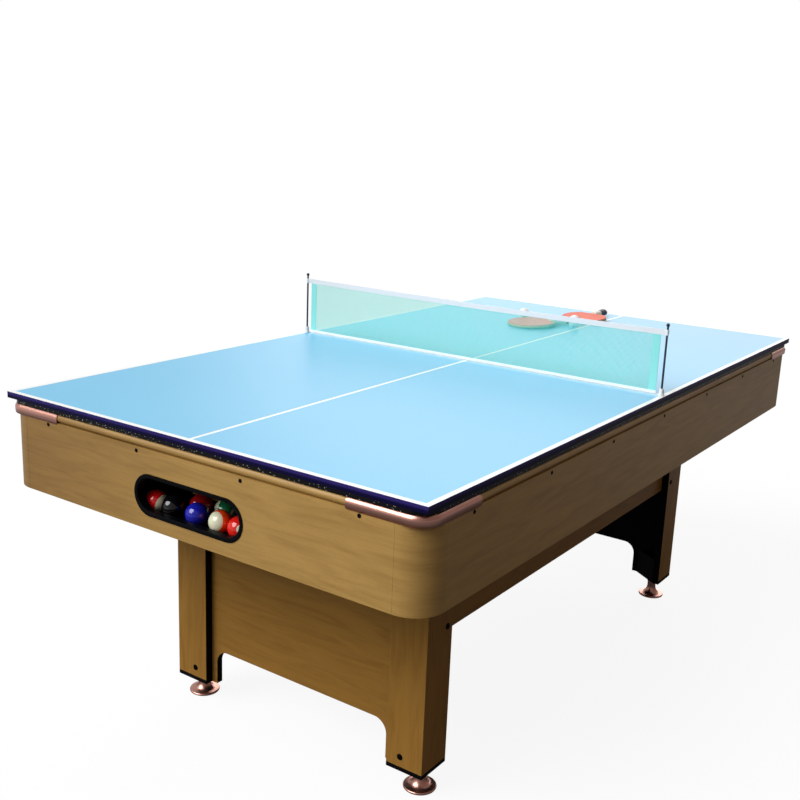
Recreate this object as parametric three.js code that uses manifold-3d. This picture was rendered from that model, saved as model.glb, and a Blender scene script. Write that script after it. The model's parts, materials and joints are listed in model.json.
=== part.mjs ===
// Multi game table: a seven-foot pool table that carries a two-piece table-tennis top.
// Millimetres, +Z up. X runs across the table, Y along it, with the ball window at -Y.
// The origin is on the floor under the middle of the table.

import * as THREE from 'three';
import { mergeVertices } from 'three/addons/utils/BufferGeometryUtils.js';
import Module from 'manifold-3d';

// Table-tennis top: two boards that meet under the net.
const boardLength = 2134;
const boardWidth = 1168;
const boardThickness = 15;
const boardJoint = 0.5;
const playHeight = 845;

// Clearances: pieces that touch, plugs in holes, and how far a cutter runs past its work.
const seatGap = 0.3;
const plugGap = 0.4;
const overrun = 20;

// Rail: a black laminate top over a half-round wooden nose, with a tongue down to the bed.
const laminateThickness = 9;
const laminateInset = 2;
const noseHeight = 19;
const railWidth = 65;
const railChamfer = 2;
const railCornerRadius = 45;

// Copper corner cap: it wraps the top of the rail's nose and hangs straight down over its lower edge.
const capThickness = 1.8;
const capArm = 133;
const capWrapDegrees = 54;
const capSkirt = 12.5;

// Cabinet sides and corner posts.
const apronHeight = 176;
const apronThickness = 22;
const ledgeWidth = 16;
const ledgeHeight = 20;
const postRadius = 66;
const postSeam = 68;
const postGlueFace = 60;

// Bed and cushions.
const bedDrop = 42;
const bedThickness = 15;
const clothGap = 1;
const cushionDepth = 40;
const cushionNose = 32;
const cushionNoseFlat = 4;
const cushionBackLow = 6;
const cushionBackHigh = 35;
const cornerMouth = 76;
const sideMouth = 56;
const cornerCutDegrees = 52;
const sideCutDegrees = 14;

// Pockets: a collar in rail and bed, a funnel and a spout down to the ball runner.
const pocketWall = 3;
const cornerPocketRadius = 52;
const cornerPocketInset = 82;
const sidePocketRadius = 46;
const sidePocketInset = 75;
const pocketTopDrop = 4;
const pocketMouthOffset = 12;
const funnelHeight = 16;
const spoutRadius = 27;

// Ball runner: two sloping side channels and a cross channel to the ball box.
const runnerWall = 3;
const runnerDepth = 60;
const runnerCentreInset = 80;
const runnerHalfWidth = 36;
const runnerEndInset = 46;
const runnerLowInset = 223;
const runnerFrontDrop = 181;
const runnerLowDrop = 185;
const runnerBackDrop = 155;
const runnerMiddleDrop = 192;
const spoutLap = 6;

// Ball window, its bezel and the ball box behind it.
const windowWidth = 295;
const windowHeight = 77;
const windowCentreDrop = 142.5;
const bezelFlange = 8;
const bezelFlangeThickness = 1.8;
const bezelSleeve = 2.5;
const boxWall = 3;
const boxMargin = 25;
const boxLip = 20.5;

// Pool balls as they lie in the box, so many ball radii across and behind the front face.
const poolBallRadius = 25.4;
const poolBallPlaces = [
  { name: 'pool_ball_red_stripe', acrossShare: -5.68, backShare: 1.93 },
  { name: 'pool_ball_black', acrossShare: -3.63, backShare: 1.9 },
  { name: 'pool_ball_blue', acrossShare: -0.83, backShare: 1.9 },
  { name: 'pool_ball_orange_stripe', acrossShare: 1.85, backShare: 1.9 },
  { name: 'pool_ball_crimson_stripe', acrossShare: 3.92, backShare: 1.93 },
  { name: 'pool_ball_maroon', acrossShare: -2.12, backShare: 3.65 },
  { name: 'pool_ball_green_stripe', acrossShare: 0.25, backShare: 4.2 },
];

// Base: L-shaped legs around an inner frame of end panels and side beams.
const legReach = 98;
const legBoard = 22;
const legOverhangX = 200;
const legOverhangY = 332;
const legBottomZ = 58;
const panelThickness = 18;
const beamHeight = 396;
const archMargin = 116;
const archTopZ = 153;
const archRadius = 35;
const blockHeight = 80;
const blockAlongX = 77;
const blockAlongY = 55;

// Levellers: a copper bell on a threaded stem.
const levellerInsetX = 38;
const levellerInsetY = 54;
const stemRadius = 6;
const stemLength = 50;
const bellRadius = 39;
const bellRim = 7;
const bellHeight = 34;
const bellNeckRadius = 13;
const bellBaseInset = 3;

// Net and posts.
const postInset = 10;
const netOffset = 12;
const rodRadius = 2.6;
const pegLength = 12;
const postHeight = 174;
const knobRadius = 4.5;
const socketRadius = 8;
const socketHeight = 18;
const netHeight = 167;
const netFoot = 4;
const netThickness = 1.2;
const netSag = 4;
const netTape = 14;
const netHem = 7;
const netHemSide = 18;
const netTab = 5;
const netColumns = 36;
const netRows = 4;
const netStrand = 3;

// Bats and table-tennis balls on the far board, so many blade lengths from one spot.
const bladeWidth = 150;
const bladeLength = 157;
const bladeThickness = 10.5;
const handleLength = 70;
const handleWidth = 28;
const handleThickness = 22;
const handleLap = 14;
const tennisBallRadius = 20;
const batSpot = { acrossShare: -0.24, alongShare: 0.589 };
const batPlaces = [
  { name: 'bat_left', acrossBladeShare: 0, alongBladeShare: 0, turnDegrees: 51 },
  { name: 'bat_right', acrossBladeShare: 0.52, alongBladeShare: 1.475, turnDegrees: 85 },
];
const tennisBallPlaces = [
  { name: 'tennis_ball_left', acrossBladeShare: -0.46, alongBladeShare: 0.5 },
  { name: 'tennis_ball_right', acrossBladeShare: 0.75, alongBladeShare: 0.515 },
];

// Smoothness of round shapes.
const arcSteps = 6;
const roundSteps = 24;
const ballDetail = 2;

// Heights and half sizes that follow from the sizes above.
const halfWidth = boardWidth / 2;
const halfLength = boardLength / 2;
const boardBottomZ = playHeight - boardThickness;
const railTopZ = boardBottomZ - seatGap;
const noseTopZ = railTopZ - laminateThickness;
const railBottomZ = noseTopZ - noseHeight;
const apronTopZ = railBottomZ - seatGap;
const apronBottomZ = apronTopZ - apronHeight;
const bedTopZ = railTopZ - bedDrop;
const bedBottomZ = bedTopZ - bedThickness;
const frameTopZ = bedBottomZ - seatGap;
const windowCentreZ = playHeight - windowCentreDrop;
const runnerFrontZ = playHeight - runnerFrontDrop;
const runnerLowZ = playHeight - runnerLowDrop;
const runnerBackZ = playHeight - runnerBackDrop;
const runnerMiddleZ = playHeight - runnerMiddleDrop;
const boxFloorZ = windowCentreZ - windowHeight / 2 - boxLip;
const boxHalfWidth = windowWidth / 2 + boxMargin;
const legOuterX = halfWidth - legOverhangX;
const legOuterY = halfLength - legOverhangY;
const archHalfWidth = legOuterX - archMargin;
const beamBottomZ = frameTopZ - beamHeight;
const sides = [{ label: 'left', sign: -1 }, { label: 'right', sign: 1 }];
const ends = [{ label: 'front', sign: -1 }, { label: 'back', sign: 1 }];

const wasm = await Module();
wasm.setup();

const table = new THREE.Group();
table.name = 'multi_game_table';

function finish(color, roughness, metalness = 0) {
  return new THREE.MeshStandardMaterial({ color, roughness, metalness });
}

const materials = {
  playingBlue: finish('#8fcbf1', 0.55),
  beech: finish('#a9854f', 0.5),
  beechDark: finish('#7d5a34', 0.55),
  blackLaminate: finish('#17181f', 0.4),
  copper: finish('#c98a6b', 0.25, 1),
  blackPlastic: finish('#101014', 0.45),
  cloth: finish('#2f6fae', 0.95),
  net: finish('#7fd8c4', 0.8),
  steel: finish('#4a4d52', 0.4, 0.8),
  batRed: finish('#c8553f', 0.6),
  whiteBall: finish('#f4f4f0', 0.5),
};

const poolColours = {
  pool_ball_red_stripe: '#c8141b',
  pool_ball_black: '#0c0c10',
  pool_ball_blue: '#1c1fa8',
  pool_ball_orange_stripe: '#e8501a',
  pool_ball_crimson_stripe: '#b5121c',
  pool_ball_maroon: '#6d0f14',
  pool_ball_green_stripe: '#1f7a4a',
};

function addMesh(name, geometry, material) {
  const mesh = new THREE.Mesh(geometry, material);
  mesh.name = name;
  table.add(mesh);
  return mesh;
}

// A closed geometry becomes a solid that can be joined and cut, and back again.
function solidOf(geometry) {
  const bare = geometry.index ? geometry.toNonIndexed() : geometry.clone();
  for (const key of Object.keys(bare.attributes)) {
    if (key !== 'position') {
      bare.deleteAttribute(key);
    }
  }
  const merged = mergeVertices(bare, 1e-4);
  return new wasm.Manifold(new wasm.Mesh({
    numProp: 3,
    vertProperties: Float32Array.from(merged.attributes.position.array),
    triVerts: Uint32Array.from(merged.index.array),
  }));
}

function geometryOf(solid) {
  const mesh = solid.getMesh();
  const geometry = new THREE.BufferGeometry();
  geometry.setAttribute('position', new THREE.BufferAttribute(Float32Array.from(mesh.vertProperties), 3));
  geometry.setIndex(new THREE.BufferAttribute(Uint32Array.from(mesh.triVerts), 1));
  geometry.computeVertexNormals();
  return geometry;
}

function shapeOf(points) {
  return new THREE.Shape(points.map(([x, y]) => new THREE.Vector2(x, y)));
}

// A flat outline in X and Y, raised from lowZ to highZ.
function slab(shape, lowZ, highZ, curveSegments = arcSteps) {
  const depth = highZ - lowZ;
  const geometry = new THREE.ExtrudeGeometry(shape, { depth, bevelEnabled: false, curveSegments });
  return geometry.translate(0, 0, lowZ);
}

function block(lowX, highX, lowY, highY, lowZ, highZ) {
  const geometry = new THREE.BoxGeometry(highX - lowX, highY - lowY, highZ - lowZ);
  return geometry.translate((lowX + highX) / 2, (lowY + highY) / 2, (lowZ + highZ) / 2);
}

// An outline in Y and Z, extruded along X from lowX to highX.
function bar(points, lowX, highX) {
  const geometry = new THREE.ExtrudeGeometry(shapeOf(points), { depth: highX - lowX, bevelEnabled: false });
  geometry.applyMatrix4(new THREE.Matrix4().makeBasis(
    new THREE.Vector3(0, 1, 0),
    new THREE.Vector3(0, 0, 1),
    new THREE.Vector3(1, 0, 0),
  ));
  return geometry.translate(lowX, 0, 0);
}

// An outline in X and Z, extruded along Y from lowY to highY.
function plank(shape, lowY, highY, curveSegments = arcSteps) {
  const depth = highY - lowY;
  const geometry = new THREE.ExtrudeGeometry(shape, { depth, bevelEnabled: false, curveSegments });
  geometry.rotateX(Math.PI / 2);
  return geometry.translate(0, highY, 0);
}

// A profile of [radius, z] turned about the vertical through x, y.
function turned(profile, x, y, steps = roundSteps) {
  const points = profile.map(([radius, z]) => new THREE.Vector2(radius, z));
  const geometry = new THREE.LatheGeometry(points, steps);
  geometry.rotateX(Math.PI / 2);
  return geometry.translate(x, y, 0);
}

function post(radius, x, y, lowZ, highZ, steps = roundSteps) {
  return turned([[0, lowZ], [radius, lowZ], [radius, highZ], [0, highZ]], x, y, steps);
}

function roundedRectangle(halfX, halfY, radius) {
  const shape = new THREE.Shape();
  shape.moveTo(halfX, -halfY + radius);
  shape.lineTo(halfX, halfY - radius);
  shape.absarc(halfX - radius, halfY - radius, radius, 0, Math.PI / 2);
  shape.lineTo(-halfX + radius, halfY);
  shape.absarc(-halfX + radius, halfY - radius, radius, Math.PI / 2, Math.PI);
  shape.lineTo(-halfX, -halfY + radius);
  shape.absarc(-halfX + radius, -halfY + radius, radius, Math.PI, 1.5 * Math.PI);
  shape.lineTo(halfX - radius, -halfY);
  shape.absarc(halfX - radius, -halfY + radius, radius, 1.5 * Math.PI, 2 * Math.PI);
  return shape;
}

// A section of [inset, z] carried along a level path, whose points each have an inward normal.
function sweep(section, path, closed) {
  const positions = [];
  const index = [];
  const count = section.length;
  for (const at of path) {
    for (const [inset, z] of section) {
      positions.push(at.x + at.inX * inset, at.y + at.inY * inset, z);
    }
  }
  const spans = closed ? path.length : path.length - 1;
  for (let i = 0; i < spans; i += 1) {
    const next = (i + 1) % path.length;
    for (let j = 0; j < count; j += 1) {
      const k = (j + 1) % count;
      const a = i * count + j;
      const b = next * count + j;
      const c = next * count + k;
      const d = i * count + k;
      index.push(a, b, c, a, c, d);
    }
  }
  if (!closed) {
    const flat = section.map(([inset, z]) => new THREE.Vector2(inset, z));
    const last = (path.length - 1) * count;
    for (const [a, b, c] of THREE.ShapeUtils.triangulateShape(flat, [])) {
      index.push(a, b, c, last + a, last + c, last + b);
    }
  }
  const geometry = new THREE.BufferGeometry();
  geometry.setAttribute('position', new THREE.Float32BufferAttribute(positions, 3));
  geometry.setIndex(index);
  return geometry;
}

// Points round one corner of the rails, from a straight arm through the arc to the next arm.
function cornerPath(signX, signY, arm) {
  const path = [];
  const centreX = halfWidth - railCornerRadius;
  const centreY = halfLength - railCornerRadius;
  const turns = signX * signY > 0 ? 1 : -1;
  const place = (x, y, angle) => ({
    x: signX * x,
    y: signY * y,
    inX: -signX * Math.cos(angle),
    inY: -signY * Math.sin(angle),
  });
  if (arm > 0) {
    path.push(place(halfWidth, centreY - arm, 0));
  }
  for (let i = 0; i <= arcSteps; i += 1) {
    const angle = (i / arcSteps) * (Math.PI / 2);
    const outX = railCornerRadius * Math.cos(angle);
    const outY = railCornerRadius * Math.sin(angle);
    path.push(place(centreX + outX, centreY + outY, angle));
  }
  if (arm > 0) {
    path.push(place(centreX - arm, halfLength, Math.PI / 2));
  }
  return turns > 0 ? path : path.reverse();
}

// The half-round nose from one angle below level to one above, as [inset, z] points.
function noseArc(offset, lowDegrees, highDegrees) {
  const radius = noseHeight / 2;
  const middleZ = noseTopZ - radius;
  const points = [];
  for (let i = 0; i <= arcSteps; i += 1) {
    const angle = THREE.MathUtils.degToRad(lowDegrees + ((highDegrees - lowDegrees) * i) / arcSteps);
    const reach = radius + offset;
    points.push([radius - reach * Math.cos(angle), middleZ + reach * Math.sin(angle)]);
  }
  return points;
}

const pockets = [];
for (const end of ends) {
  for (const side of sides) {
    pockets.push({
      name: `${end.label}_${side.label}`,
      x: side.sign * (halfWidth - cornerPocketInset),
      y: end.sign * (halfLength - cornerPocketInset),
      radius: cornerPocketRadius,
    });
  }
}
for (const side of sides) {
  pockets.push({
    name: `middle_${side.label}`,
    x: side.sign * (halfWidth - sidePocketInset),
    y: 0,
    radius: sidePocketRadius,
  });
}

function cutPockets(solid, lowZ, highZ) {
  let cut = solid;
  for (const pocket of pockets) {
    cut = cut.subtract(solidOf(post(pocket.radius + plugGap, pocket.x, pocket.y, lowZ, highZ)));
  }
  return cut;
}

// Outline of a corner post: the outer arc, a short flat each side and a straight glue face inside.
function postOutline(margin) {
  const shape = new THREE.Shape();
  const inner = apronThickness + margin;
  shape.moveTo(postSeam + margin, 0);
  shape.lineTo(postSeam + margin, inner);
  shape.lineTo(postGlueFace + margin, inner);
  shape.lineTo(inner, postGlueFace + margin);
  shape.lineTo(inner, postSeam + margin);
  shape.lineTo(0, postSeam + margin);
  shape.lineTo(0, postRadius);
  shape.absarc(postRadius, postRadius, postRadius, Math.PI, 1.5 * Math.PI, false);
  shape.closePath();
  return shape;
}

// The outline is drawn with the cabinet's corner at zero, then turned into place.
function cornerBlock(signX, signY, margin, lowZ, highZ) {
  const geometry = slab(postOutline(margin), lowZ, highZ);
  if (signX < 0 && signY < 0) {
    geometry.translate(-halfWidth, -halfLength, 0);
  } else if (signX > 0 && signY < 0) {
    geometry.rotateZ(Math.PI / 2);
    geometry.translate(halfWidth, -halfLength, 0);
  } else if (signX > 0) {
    geometry.rotateZ(Math.PI);
    geometry.translate(halfWidth, halfLength, 0);
  } else {
    geometry.rotateZ(-Math.PI / 2);
    geometry.translate(-halfWidth, halfLength, 0);
  }
  return geometry;
}

function addBoards() {
  for (const end of ends) {
    const nearY = boardJoint / 2;
    const lowY = end.sign < 0 ? -halfLength : nearY;
    const highY = end.sign < 0 ? -nearY : halfLength;
    let board = solidOf(block(-halfWidth, halfWidth, lowY, highY, boardBottomZ, playHeight));
    if (end.sign < 0) {
      for (const side of sides) {
        const x = side.sign * (halfWidth - postInset);
        const lowZ = boardBottomZ - overrun;
        const hole = post(rodRadius + plugGap, x, -netOffset, lowZ, playHeight + overrun, arcSteps * 2);
        board = board.subtract(solidOf(hole));
      }
    }
    addMesh(`tennis_board_${end.label}`, geometryOf(board), materials.playingBlue);
  }
}

function railFrame() {
  const outer = roundedRectangle(
    halfWidth - laminateInset,
    halfLength - laminateInset,
    railCornerRadius - laminateInset,
  );
  const innerX = halfWidth - railWidth;
  const innerY = halfLength - railWidth;
  const tongue = apronThickness + seatGap;
  const noseRoot = noseHeight / 2;
  const window = solidOf(block(-innerX, innerX, -innerY, innerY, bedTopZ - overrun, railTopZ + overrun));
  const laminate = solidOf(slab(outer, noseTopZ, railTopZ));
  const core = solidOf(slab(
    roundedRectangle(halfWidth - noseRoot, halfLength - noseRoot, railCornerRadius - noseRoot),
    railBottomZ,
    noseTopZ,
  ));
  const low = solidOf(slab(
    roundedRectangle(halfWidth - tongue, halfLength - tongue, railCornerRadius - tongue),
    bedTopZ + clothGap,
    railBottomZ,
  ));
  const loop = [];
  for (const [signX, signY] of [[1, -1], [1, 1], [-1, 1], [-1, -1]]) {
    loop.push(...cornerPath(signX, signY, 0));
  }
  const noseSection = [
    ...noseArc(0, -90, 90),
    [noseRoot + railChamfer, noseTopZ],
    [noseRoot + railChamfer, railBottomZ],
  ];
  const nose = outward(sweep(noseSection, loop, true));
  const whole = laminate.add(core).add(low).add(nose).subtract(window);
  const frame = trimAtPosts(whole, bedTopZ - overrun, railBottomZ);
  return cutPockets(frame, bedTopZ - overrun, railTopZ + overrun);
}

// The rails are mitred at the corners.
function addRails() {
  const frame = railFrame();
  const depth = 2 * railWidth;
  const gap = seatGap / 2;
  const lowZ = bedTopZ - overrun;
  const highZ = railTopZ + overrun;
  for (const end of ends) {
    const trapezium = shapeOf([
      [-halfWidth - overrun + gap, end.sign * (halfLength + overrun)],
      [halfWidth + overrun - gap, end.sign * (halfLength + overrun)],
      [halfWidth - depth - gap, end.sign * (halfLength - depth)],
      [-halfWidth + depth + gap, end.sign * (halfLength - depth)],
    ]);
    const rail = frame.intersect(solidOf(slab(trapezium, lowZ, highZ)));
    addMesh(`rail_${end.label}`, geometryOf(rail), materials.beech);
  }
  for (const side of sides) {
    const trapezium = shapeOf([
      [side.sign * (halfWidth + overrun), -halfLength - overrun + gap],
      [side.sign * (halfWidth + overrun), halfLength + overrun - gap],
      [side.sign * (halfWidth - depth), halfLength - depth - gap],
      [side.sign * (halfWidth - depth), -halfLength + depth + gap],
    ]);
    const rail = frame.intersect(solidOf(slab(trapezium, lowZ, highZ)));
    addMesh(`rail_${side.label}`, geometryOf(rail), materials.beech);
  }
}

function addCornerCaps() {
  const face = (offset) => {
    const skirtZ = noseTopZ - noseHeight / 2 - capSkirt;
    return [[-offset, skirtZ], ...noseArc(offset, 0, capWrapDegrees)];
  };
  const inside = face(seatGap);
  const outside = face(seatGap + capThickness).reverse();
  for (const end of ends) {
    for (const side of sides) {
      const cap = sweep([...inside, ...outside], cornerPath(side.sign, end.sign, capArm), false);
      addMesh(`corner_cap_${end.label}_${side.label}`, geometryOf(outward(cap)), materials.copper);
    }
  }
}

// Section of a cabinet side as [inset, z]: a board with a ledge inside that carries the bed.
const apronSection = [
  [0, apronBottomZ],
  [apronThickness, apronBottomZ],
  [apronThickness, frameTopZ - ledgeHeight],
  [apronThickness + ledgeWidth, frameTopZ - ledgeHeight],
  [apronThickness + ledgeWidth, frameTopZ],
  [apronThickness, frameTopZ],
  [apronThickness, apronTopZ],
  [0, apronTopZ],
];

function windowShape(grow) {
  const half = windowHeight / 2 + grow;
  const straight = windowWidth / 2 - windowHeight / 2;
  const shape = new THREE.Shape();
  shape.moveTo(-straight, windowCentreZ - half);
  shape.lineTo(straight, windowCentreZ - half);
  shape.absarc(straight, windowCentreZ, half, -Math.PI / 2, Math.PI / 2, false);
  shape.lineTo(-straight, windowCentreZ + half);
  shape.absarc(-straight, windowCentreZ, half, Math.PI / 2, 1.5 * Math.PI, false);
  return shape;
}

function trimAtPosts(solid, lowZ, highZ) {
  let cut = solid;
  for (const end of ends) {
    for (const side of sides) {
      cut = cut.subtract(solidOf(cornerBlock(side.sign, end.sign, seatGap, lowZ, highZ)));
    }
  }
  return cut;
}

function addAprons() {
  const alongX = halfWidth - postSeam - seatGap;
  const alongY = halfLength - postSeam - seatGap;
  const lowZ = apronBottomZ - overrun;
  const highZ = apronTopZ + overrun;
  for (const end of ends) {
    const points = apronSection.map(([inset, z]) => [end.sign * (halfLength - inset), z]);
    let apron = trimAtPosts(solidOf(bar(points, -alongX, alongX)), lowZ, highZ);
    apron = cutPockets(apron, apronBottomZ, highZ);
    if (end.sign < 0) {
      const backY = -halfLength + apronThickness + overrun;
      const hole = plank(windowShape(bezelSleeve + plugGap), -halfLength - overrun, backY);
      apron = apron.subtract(solidOf(hole));
    }
    addMesh(`apron_${end.label}`, geometryOf(apron), materials.beech);
  }
  for (const side of sides) {
    const shape = shapeOf(apronSection.map(([inset, z]) => [side.sign * (halfWidth - inset), z]));
    const board = solidOf(plank(shape, -alongY, alongY));
    const apron = cutPockets(trimAtPosts(board, lowZ, highZ), apronBottomZ, highZ);
    addMesh(`apron_${side.label}`, geometryOf(apron), materials.beech);
  }
}

function addCornerPosts() {
  for (const end of ends) {
    for (const side of sides) {
      const geometry = cornerBlock(side.sign, end.sign, 0, apronBottomZ, apronTopZ);
      addMesh(`corner_post_${end.label}_${side.label}`, geometryOf(solidOf(geometry)), materials.beech);
    }
  }
}

function addBed() {
  const halfX = halfWidth - apronThickness - seatGap;
  const halfY = halfLength - apronThickness - seatGap;
  const lowZ = bedBottomZ - overrun;
  const highZ = bedTopZ + overrun;
  const board = trimAtPosts(solidOf(block(-halfX, halfX, -halfY, halfY, bedBottomZ, bedTopZ)), lowZ, highZ);
  addMesh('playfield_bed', geometryOf(cutPockets(board, lowZ, highZ)), materials.cloth);
}

// A cushion lies along +X with its back at zero and its nose towards +Y.
// Each end is cut back from the rail to the nose at its pocket's angle.
function cushion(lowX, highX, lowDegrees, highDegrees) {
  const section = [
    [seatGap, cushionBackLow],
    [cushionDepth - cushionNoseFlat, cushionNose - cushionNoseFlat],
    [cushionDepth, cushionNose],
    [cushionDepth - cushionNoseFlat, cushionNose + cushionNoseFlat / 2],
    [seatGap, cushionBackHigh],
  ];
  const lowSlope = Math.tan(THREE.MathUtils.degToRad(lowDegrees));
  const highSlope = Math.tan(THREE.MathUtils.degToRad(highDegrees));
  const positions = [];
  const index = [];
  const count = section.length;
  for (const [depth, height] of section) {
    positions.push(lowX - (cushionDepth - depth) * lowSlope, depth, bedTopZ + height);
  }
  for (const [depth, height] of section) {
    positions.push(highX + (cushionDepth - depth) * highSlope, depth, bedTopZ + height);
  }
  for (let j = 0; j < count; j += 1) {
    const k = (j + 1) % count;
    index.push(j, j + count, k + count, j, k + count, k);
  }
  const flat = section.map(([depth, height]) => new THREE.Vector2(depth, height));
  for (const [a, b, c] of THREE.ShapeUtils.triangulateShape(flat, [])) {
    index.push(a, b, c, count + a, count + c, count + b);
  }
  const geometry = new THREE.BufferGeometry();
  geometry.setAttribute('position', new THREE.Float32BufferAttribute(positions, 3));
  geometry.setIndex(index);
  return geometry;
}

function outward(geometry) {
  const solid = solidOf(geometry);
  if (solid.volume() > 0) {
    return solid;
  }
  const flipped = geometry.clone();
  const order = Array.from(geometry.index.array);
  for (let i = 0; i < order.length; i += 3) {
    [order[i + 1], order[i + 2]] = [order[i + 2], order[i + 1]];
  }
  flipped.setIndex(order);
  return solidOf(flipped);
}

function addCushions() {
  const acrossTip = halfWidth - railWidth - cushionDepth - cornerMouth;
  const alongTip = halfLength - railWidth - cushionDepth - cornerMouth;
  const lowZ = bedTopZ - overrun;
  for (const end of ends) {
    const geometry = cushion(-acrossTip, acrossTip, cornerCutDegrees, cornerCutDegrees);
    geometry.rotateZ(end.sign < 0 ? 0 : Math.PI);
    geometry.translate(0, end.sign * (halfLength - railWidth), 0);
    const piece = cutPockets(outward(geometry), lowZ, railTopZ);
    addMesh(`cushion_${end.label}`, geometryOf(piece), materials.cloth);
    for (const side of sides) {
      const nearCorner = end.sign * side.sign < 0;
      const geometrySide = nearCorner
        ? cushion(-alongTip, -sideMouth, cornerCutDegrees, sideCutDegrees)
        : cushion(sideMouth, alongTip, sideCutDegrees, cornerCutDegrees);
      geometrySide.rotateZ(side.sign * (Math.PI / 2));
      geometrySide.translate(side.sign * (halfWidth - railWidth), 0, 0);
      const pieceSide = cutPockets(outward(geometrySide), lowZ, railTopZ);
      addMesh(`cushion_${side.label}_${end.label}`, geometryOf(pieceSide), materials.cloth);
    }
  }
}

const runnerLowY = -halfLength + runnerLowInset;
const runnerEndY = halfLength - runnerEndInset;
const runnerX = halfWidth - runnerCentreInset;

function runnerFloorAt(y) {
  if (y < runnerLowY) {
    return THREE.MathUtils.mapLinear(y, -runnerEndY, runnerLowY, runnerFrontZ, runnerLowZ);
  }
  return THREE.MathUtils.mapLinear(y, runnerLowY, runnerEndY, runnerLowZ, runnerBackZ);
}

function addPockets() {
  for (const pocket of pockets) {
    const topZ = railTopZ - pocketTopDrop;
    const inner = pocket.radius - pocketWall;
    const lowZ = runnerFloorAt(pocket.y) + runnerDepth - spoutLap;
    const profile = [
      [pocket.radius, topZ],
      [inner, topZ],
      [inner, bedBottomZ],
      [spoutRadius, bedBottomZ - funnelHeight],
      [spoutRadius, lowZ],
      [spoutRadius + pocketWall, lowZ],
      [spoutRadius + pocketWall, bedBottomZ - funnelHeight - pocketWall],
      [pocket.radius, bedBottomZ - pocketWall],
      [pocket.radius, topZ],
    ];
    const collar = outward(turned(profile, 0, 0));
    const reach = pocket.radius + overrun;
    const mouth = block(pocketMouthOffset, reach, -reach, reach, bedTopZ, topZ + overrun);
    mouth.rotateZ(Math.atan2(-Math.sign(Math.round(pocket.y)), -Math.sign(pocket.x)));
    const piece = collar.subtract(solidOf(mouth)).translate([pocket.x, pocket.y, 0]);
    addMesh(`pocket_${pocket.name}`, geometryOf(piece), materials.blackPlastic);
  }
}

// The floor line of a side channel, raised by a height, front to back.
function sideFloorLine(rise, endInset) {
  return [
    [-runnerEndY + endInset, runnerFrontZ + rise],
    [runnerLowY, runnerLowZ + rise],
    [runnerEndY - endInset, runnerBackZ + rise],
  ];
}

function crossFloorLine(rise, endX) {
  return [
    [-endX, runnerLowZ + rise],
    [0, runnerMiddleZ + rise],
    [endX, runnerLowZ + rise],
  ];
}

function addBallRunner() {
  const outer = runnerHalfWidth + runnerWall;
  const crossEnd = runnerX;
  const crossOuter = plank(
    shapeOf([...crossFloorLine(-runnerWall, crossEnd), ...crossFloorLine(runnerDepth, crossEnd).reverse()]),
    runnerLowY - outer,
    runnerLowY + outer,
  );
  const crossInner = plank(
    shapeOf([...crossFloorLine(0, crossEnd), ...crossFloorLine(runnerDepth + overrun, crossEnd).reverse()]),
    runnerLowY - runnerHalfWidth,
    runnerLowY + runnerHalfWidth,
  );
  let shell = outward(crossOuter);
  let hollow = outward(crossInner);
  for (const side of sides) {
    const x = side.sign * runnerX;
    const around = [...sideFloorLine(-runnerWall, 0), ...sideFloorLine(runnerDepth, 0).reverse()];
    const above = sideFloorLine(runnerDepth + overrun, runnerWall).reverse();
    const within = [...sideFloorLine(0, runnerWall), ...above];
    shell = shell.add(outward(bar(around, x - outer, x + outer)));
    hollow = hollow.add(outward(bar(within, x - runnerHalfWidth, x + runnerHalfWidth)));
  }
  const doorway = block(
    -boxHalfWidth,
    boxHalfWidth,
    runnerLowY - outer - overrun,
    runnerLowY,
    runnerLowZ,
    runnerLowZ + runnerDepth + overrun,
  );
  const runner = shell.subtract(hollow).subtract(solidOf(doorway));
  addMesh('ball_runner', geometryOf(runner), materials.blackPlastic);
}

function addBallBox() {
  const lowY = -halfLength + apronThickness + seatGap;
  const highY = runnerLowY - runnerHalfWidth - runnerWall - seatGap;
  const topZ = frameTopZ - ledgeHeight - seatGap;
  const half = boxHalfWidth;
  const outer = solidOf(block(-half - boxWall, half + boxWall, lowY, highY, boxFloorZ - boxWall, topZ));
  const inner = solidOf(block(-half, half, lowY - overrun, highY + overrun, boxFloorZ, topZ + overrun));
  addMesh('ball_box', geometryOf(outer.subtract(inner)), materials.blackPlastic);
}

function addBezel() {
  const faceY = -halfLength - seatGap;
  const backY = -halfLength + apronThickness;
  const flange = plank(windowShape(bezelFlange), faceY - bezelFlangeThickness, faceY);
  const sleeve = plank(windowShape(bezelSleeve), faceY - bezelFlangeThickness / 2, backY);
  const opening = plank(windowShape(0), faceY - overrun, backY + overrun);
  const bezel = solidOf(flange).add(solidOf(sleeve)).subtract(solidOf(opening));
  addMesh('window_bezel', geometryOf(bezel), materials.blackPlastic);
}

function ball(radius, x, y, restZ) {
  const geometry = new THREE.IcosahedronGeometry(radius, ballDetail);
  return geometryOf(solidOf(geometry.translate(x, y, restZ + radius + seatGap)));
}

function addPoolBalls() {
  for (const { name, acrossShare, backShare } of poolBallPlaces) {
    const x = acrossShare * poolBallRadius;
    const y = -halfLength + backShare * poolBallRadius;
    addMesh(name, ball(poolBallRadius, x, y, boxFloorZ), finish(poolColours[name], 0.12));
  }
}

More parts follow.
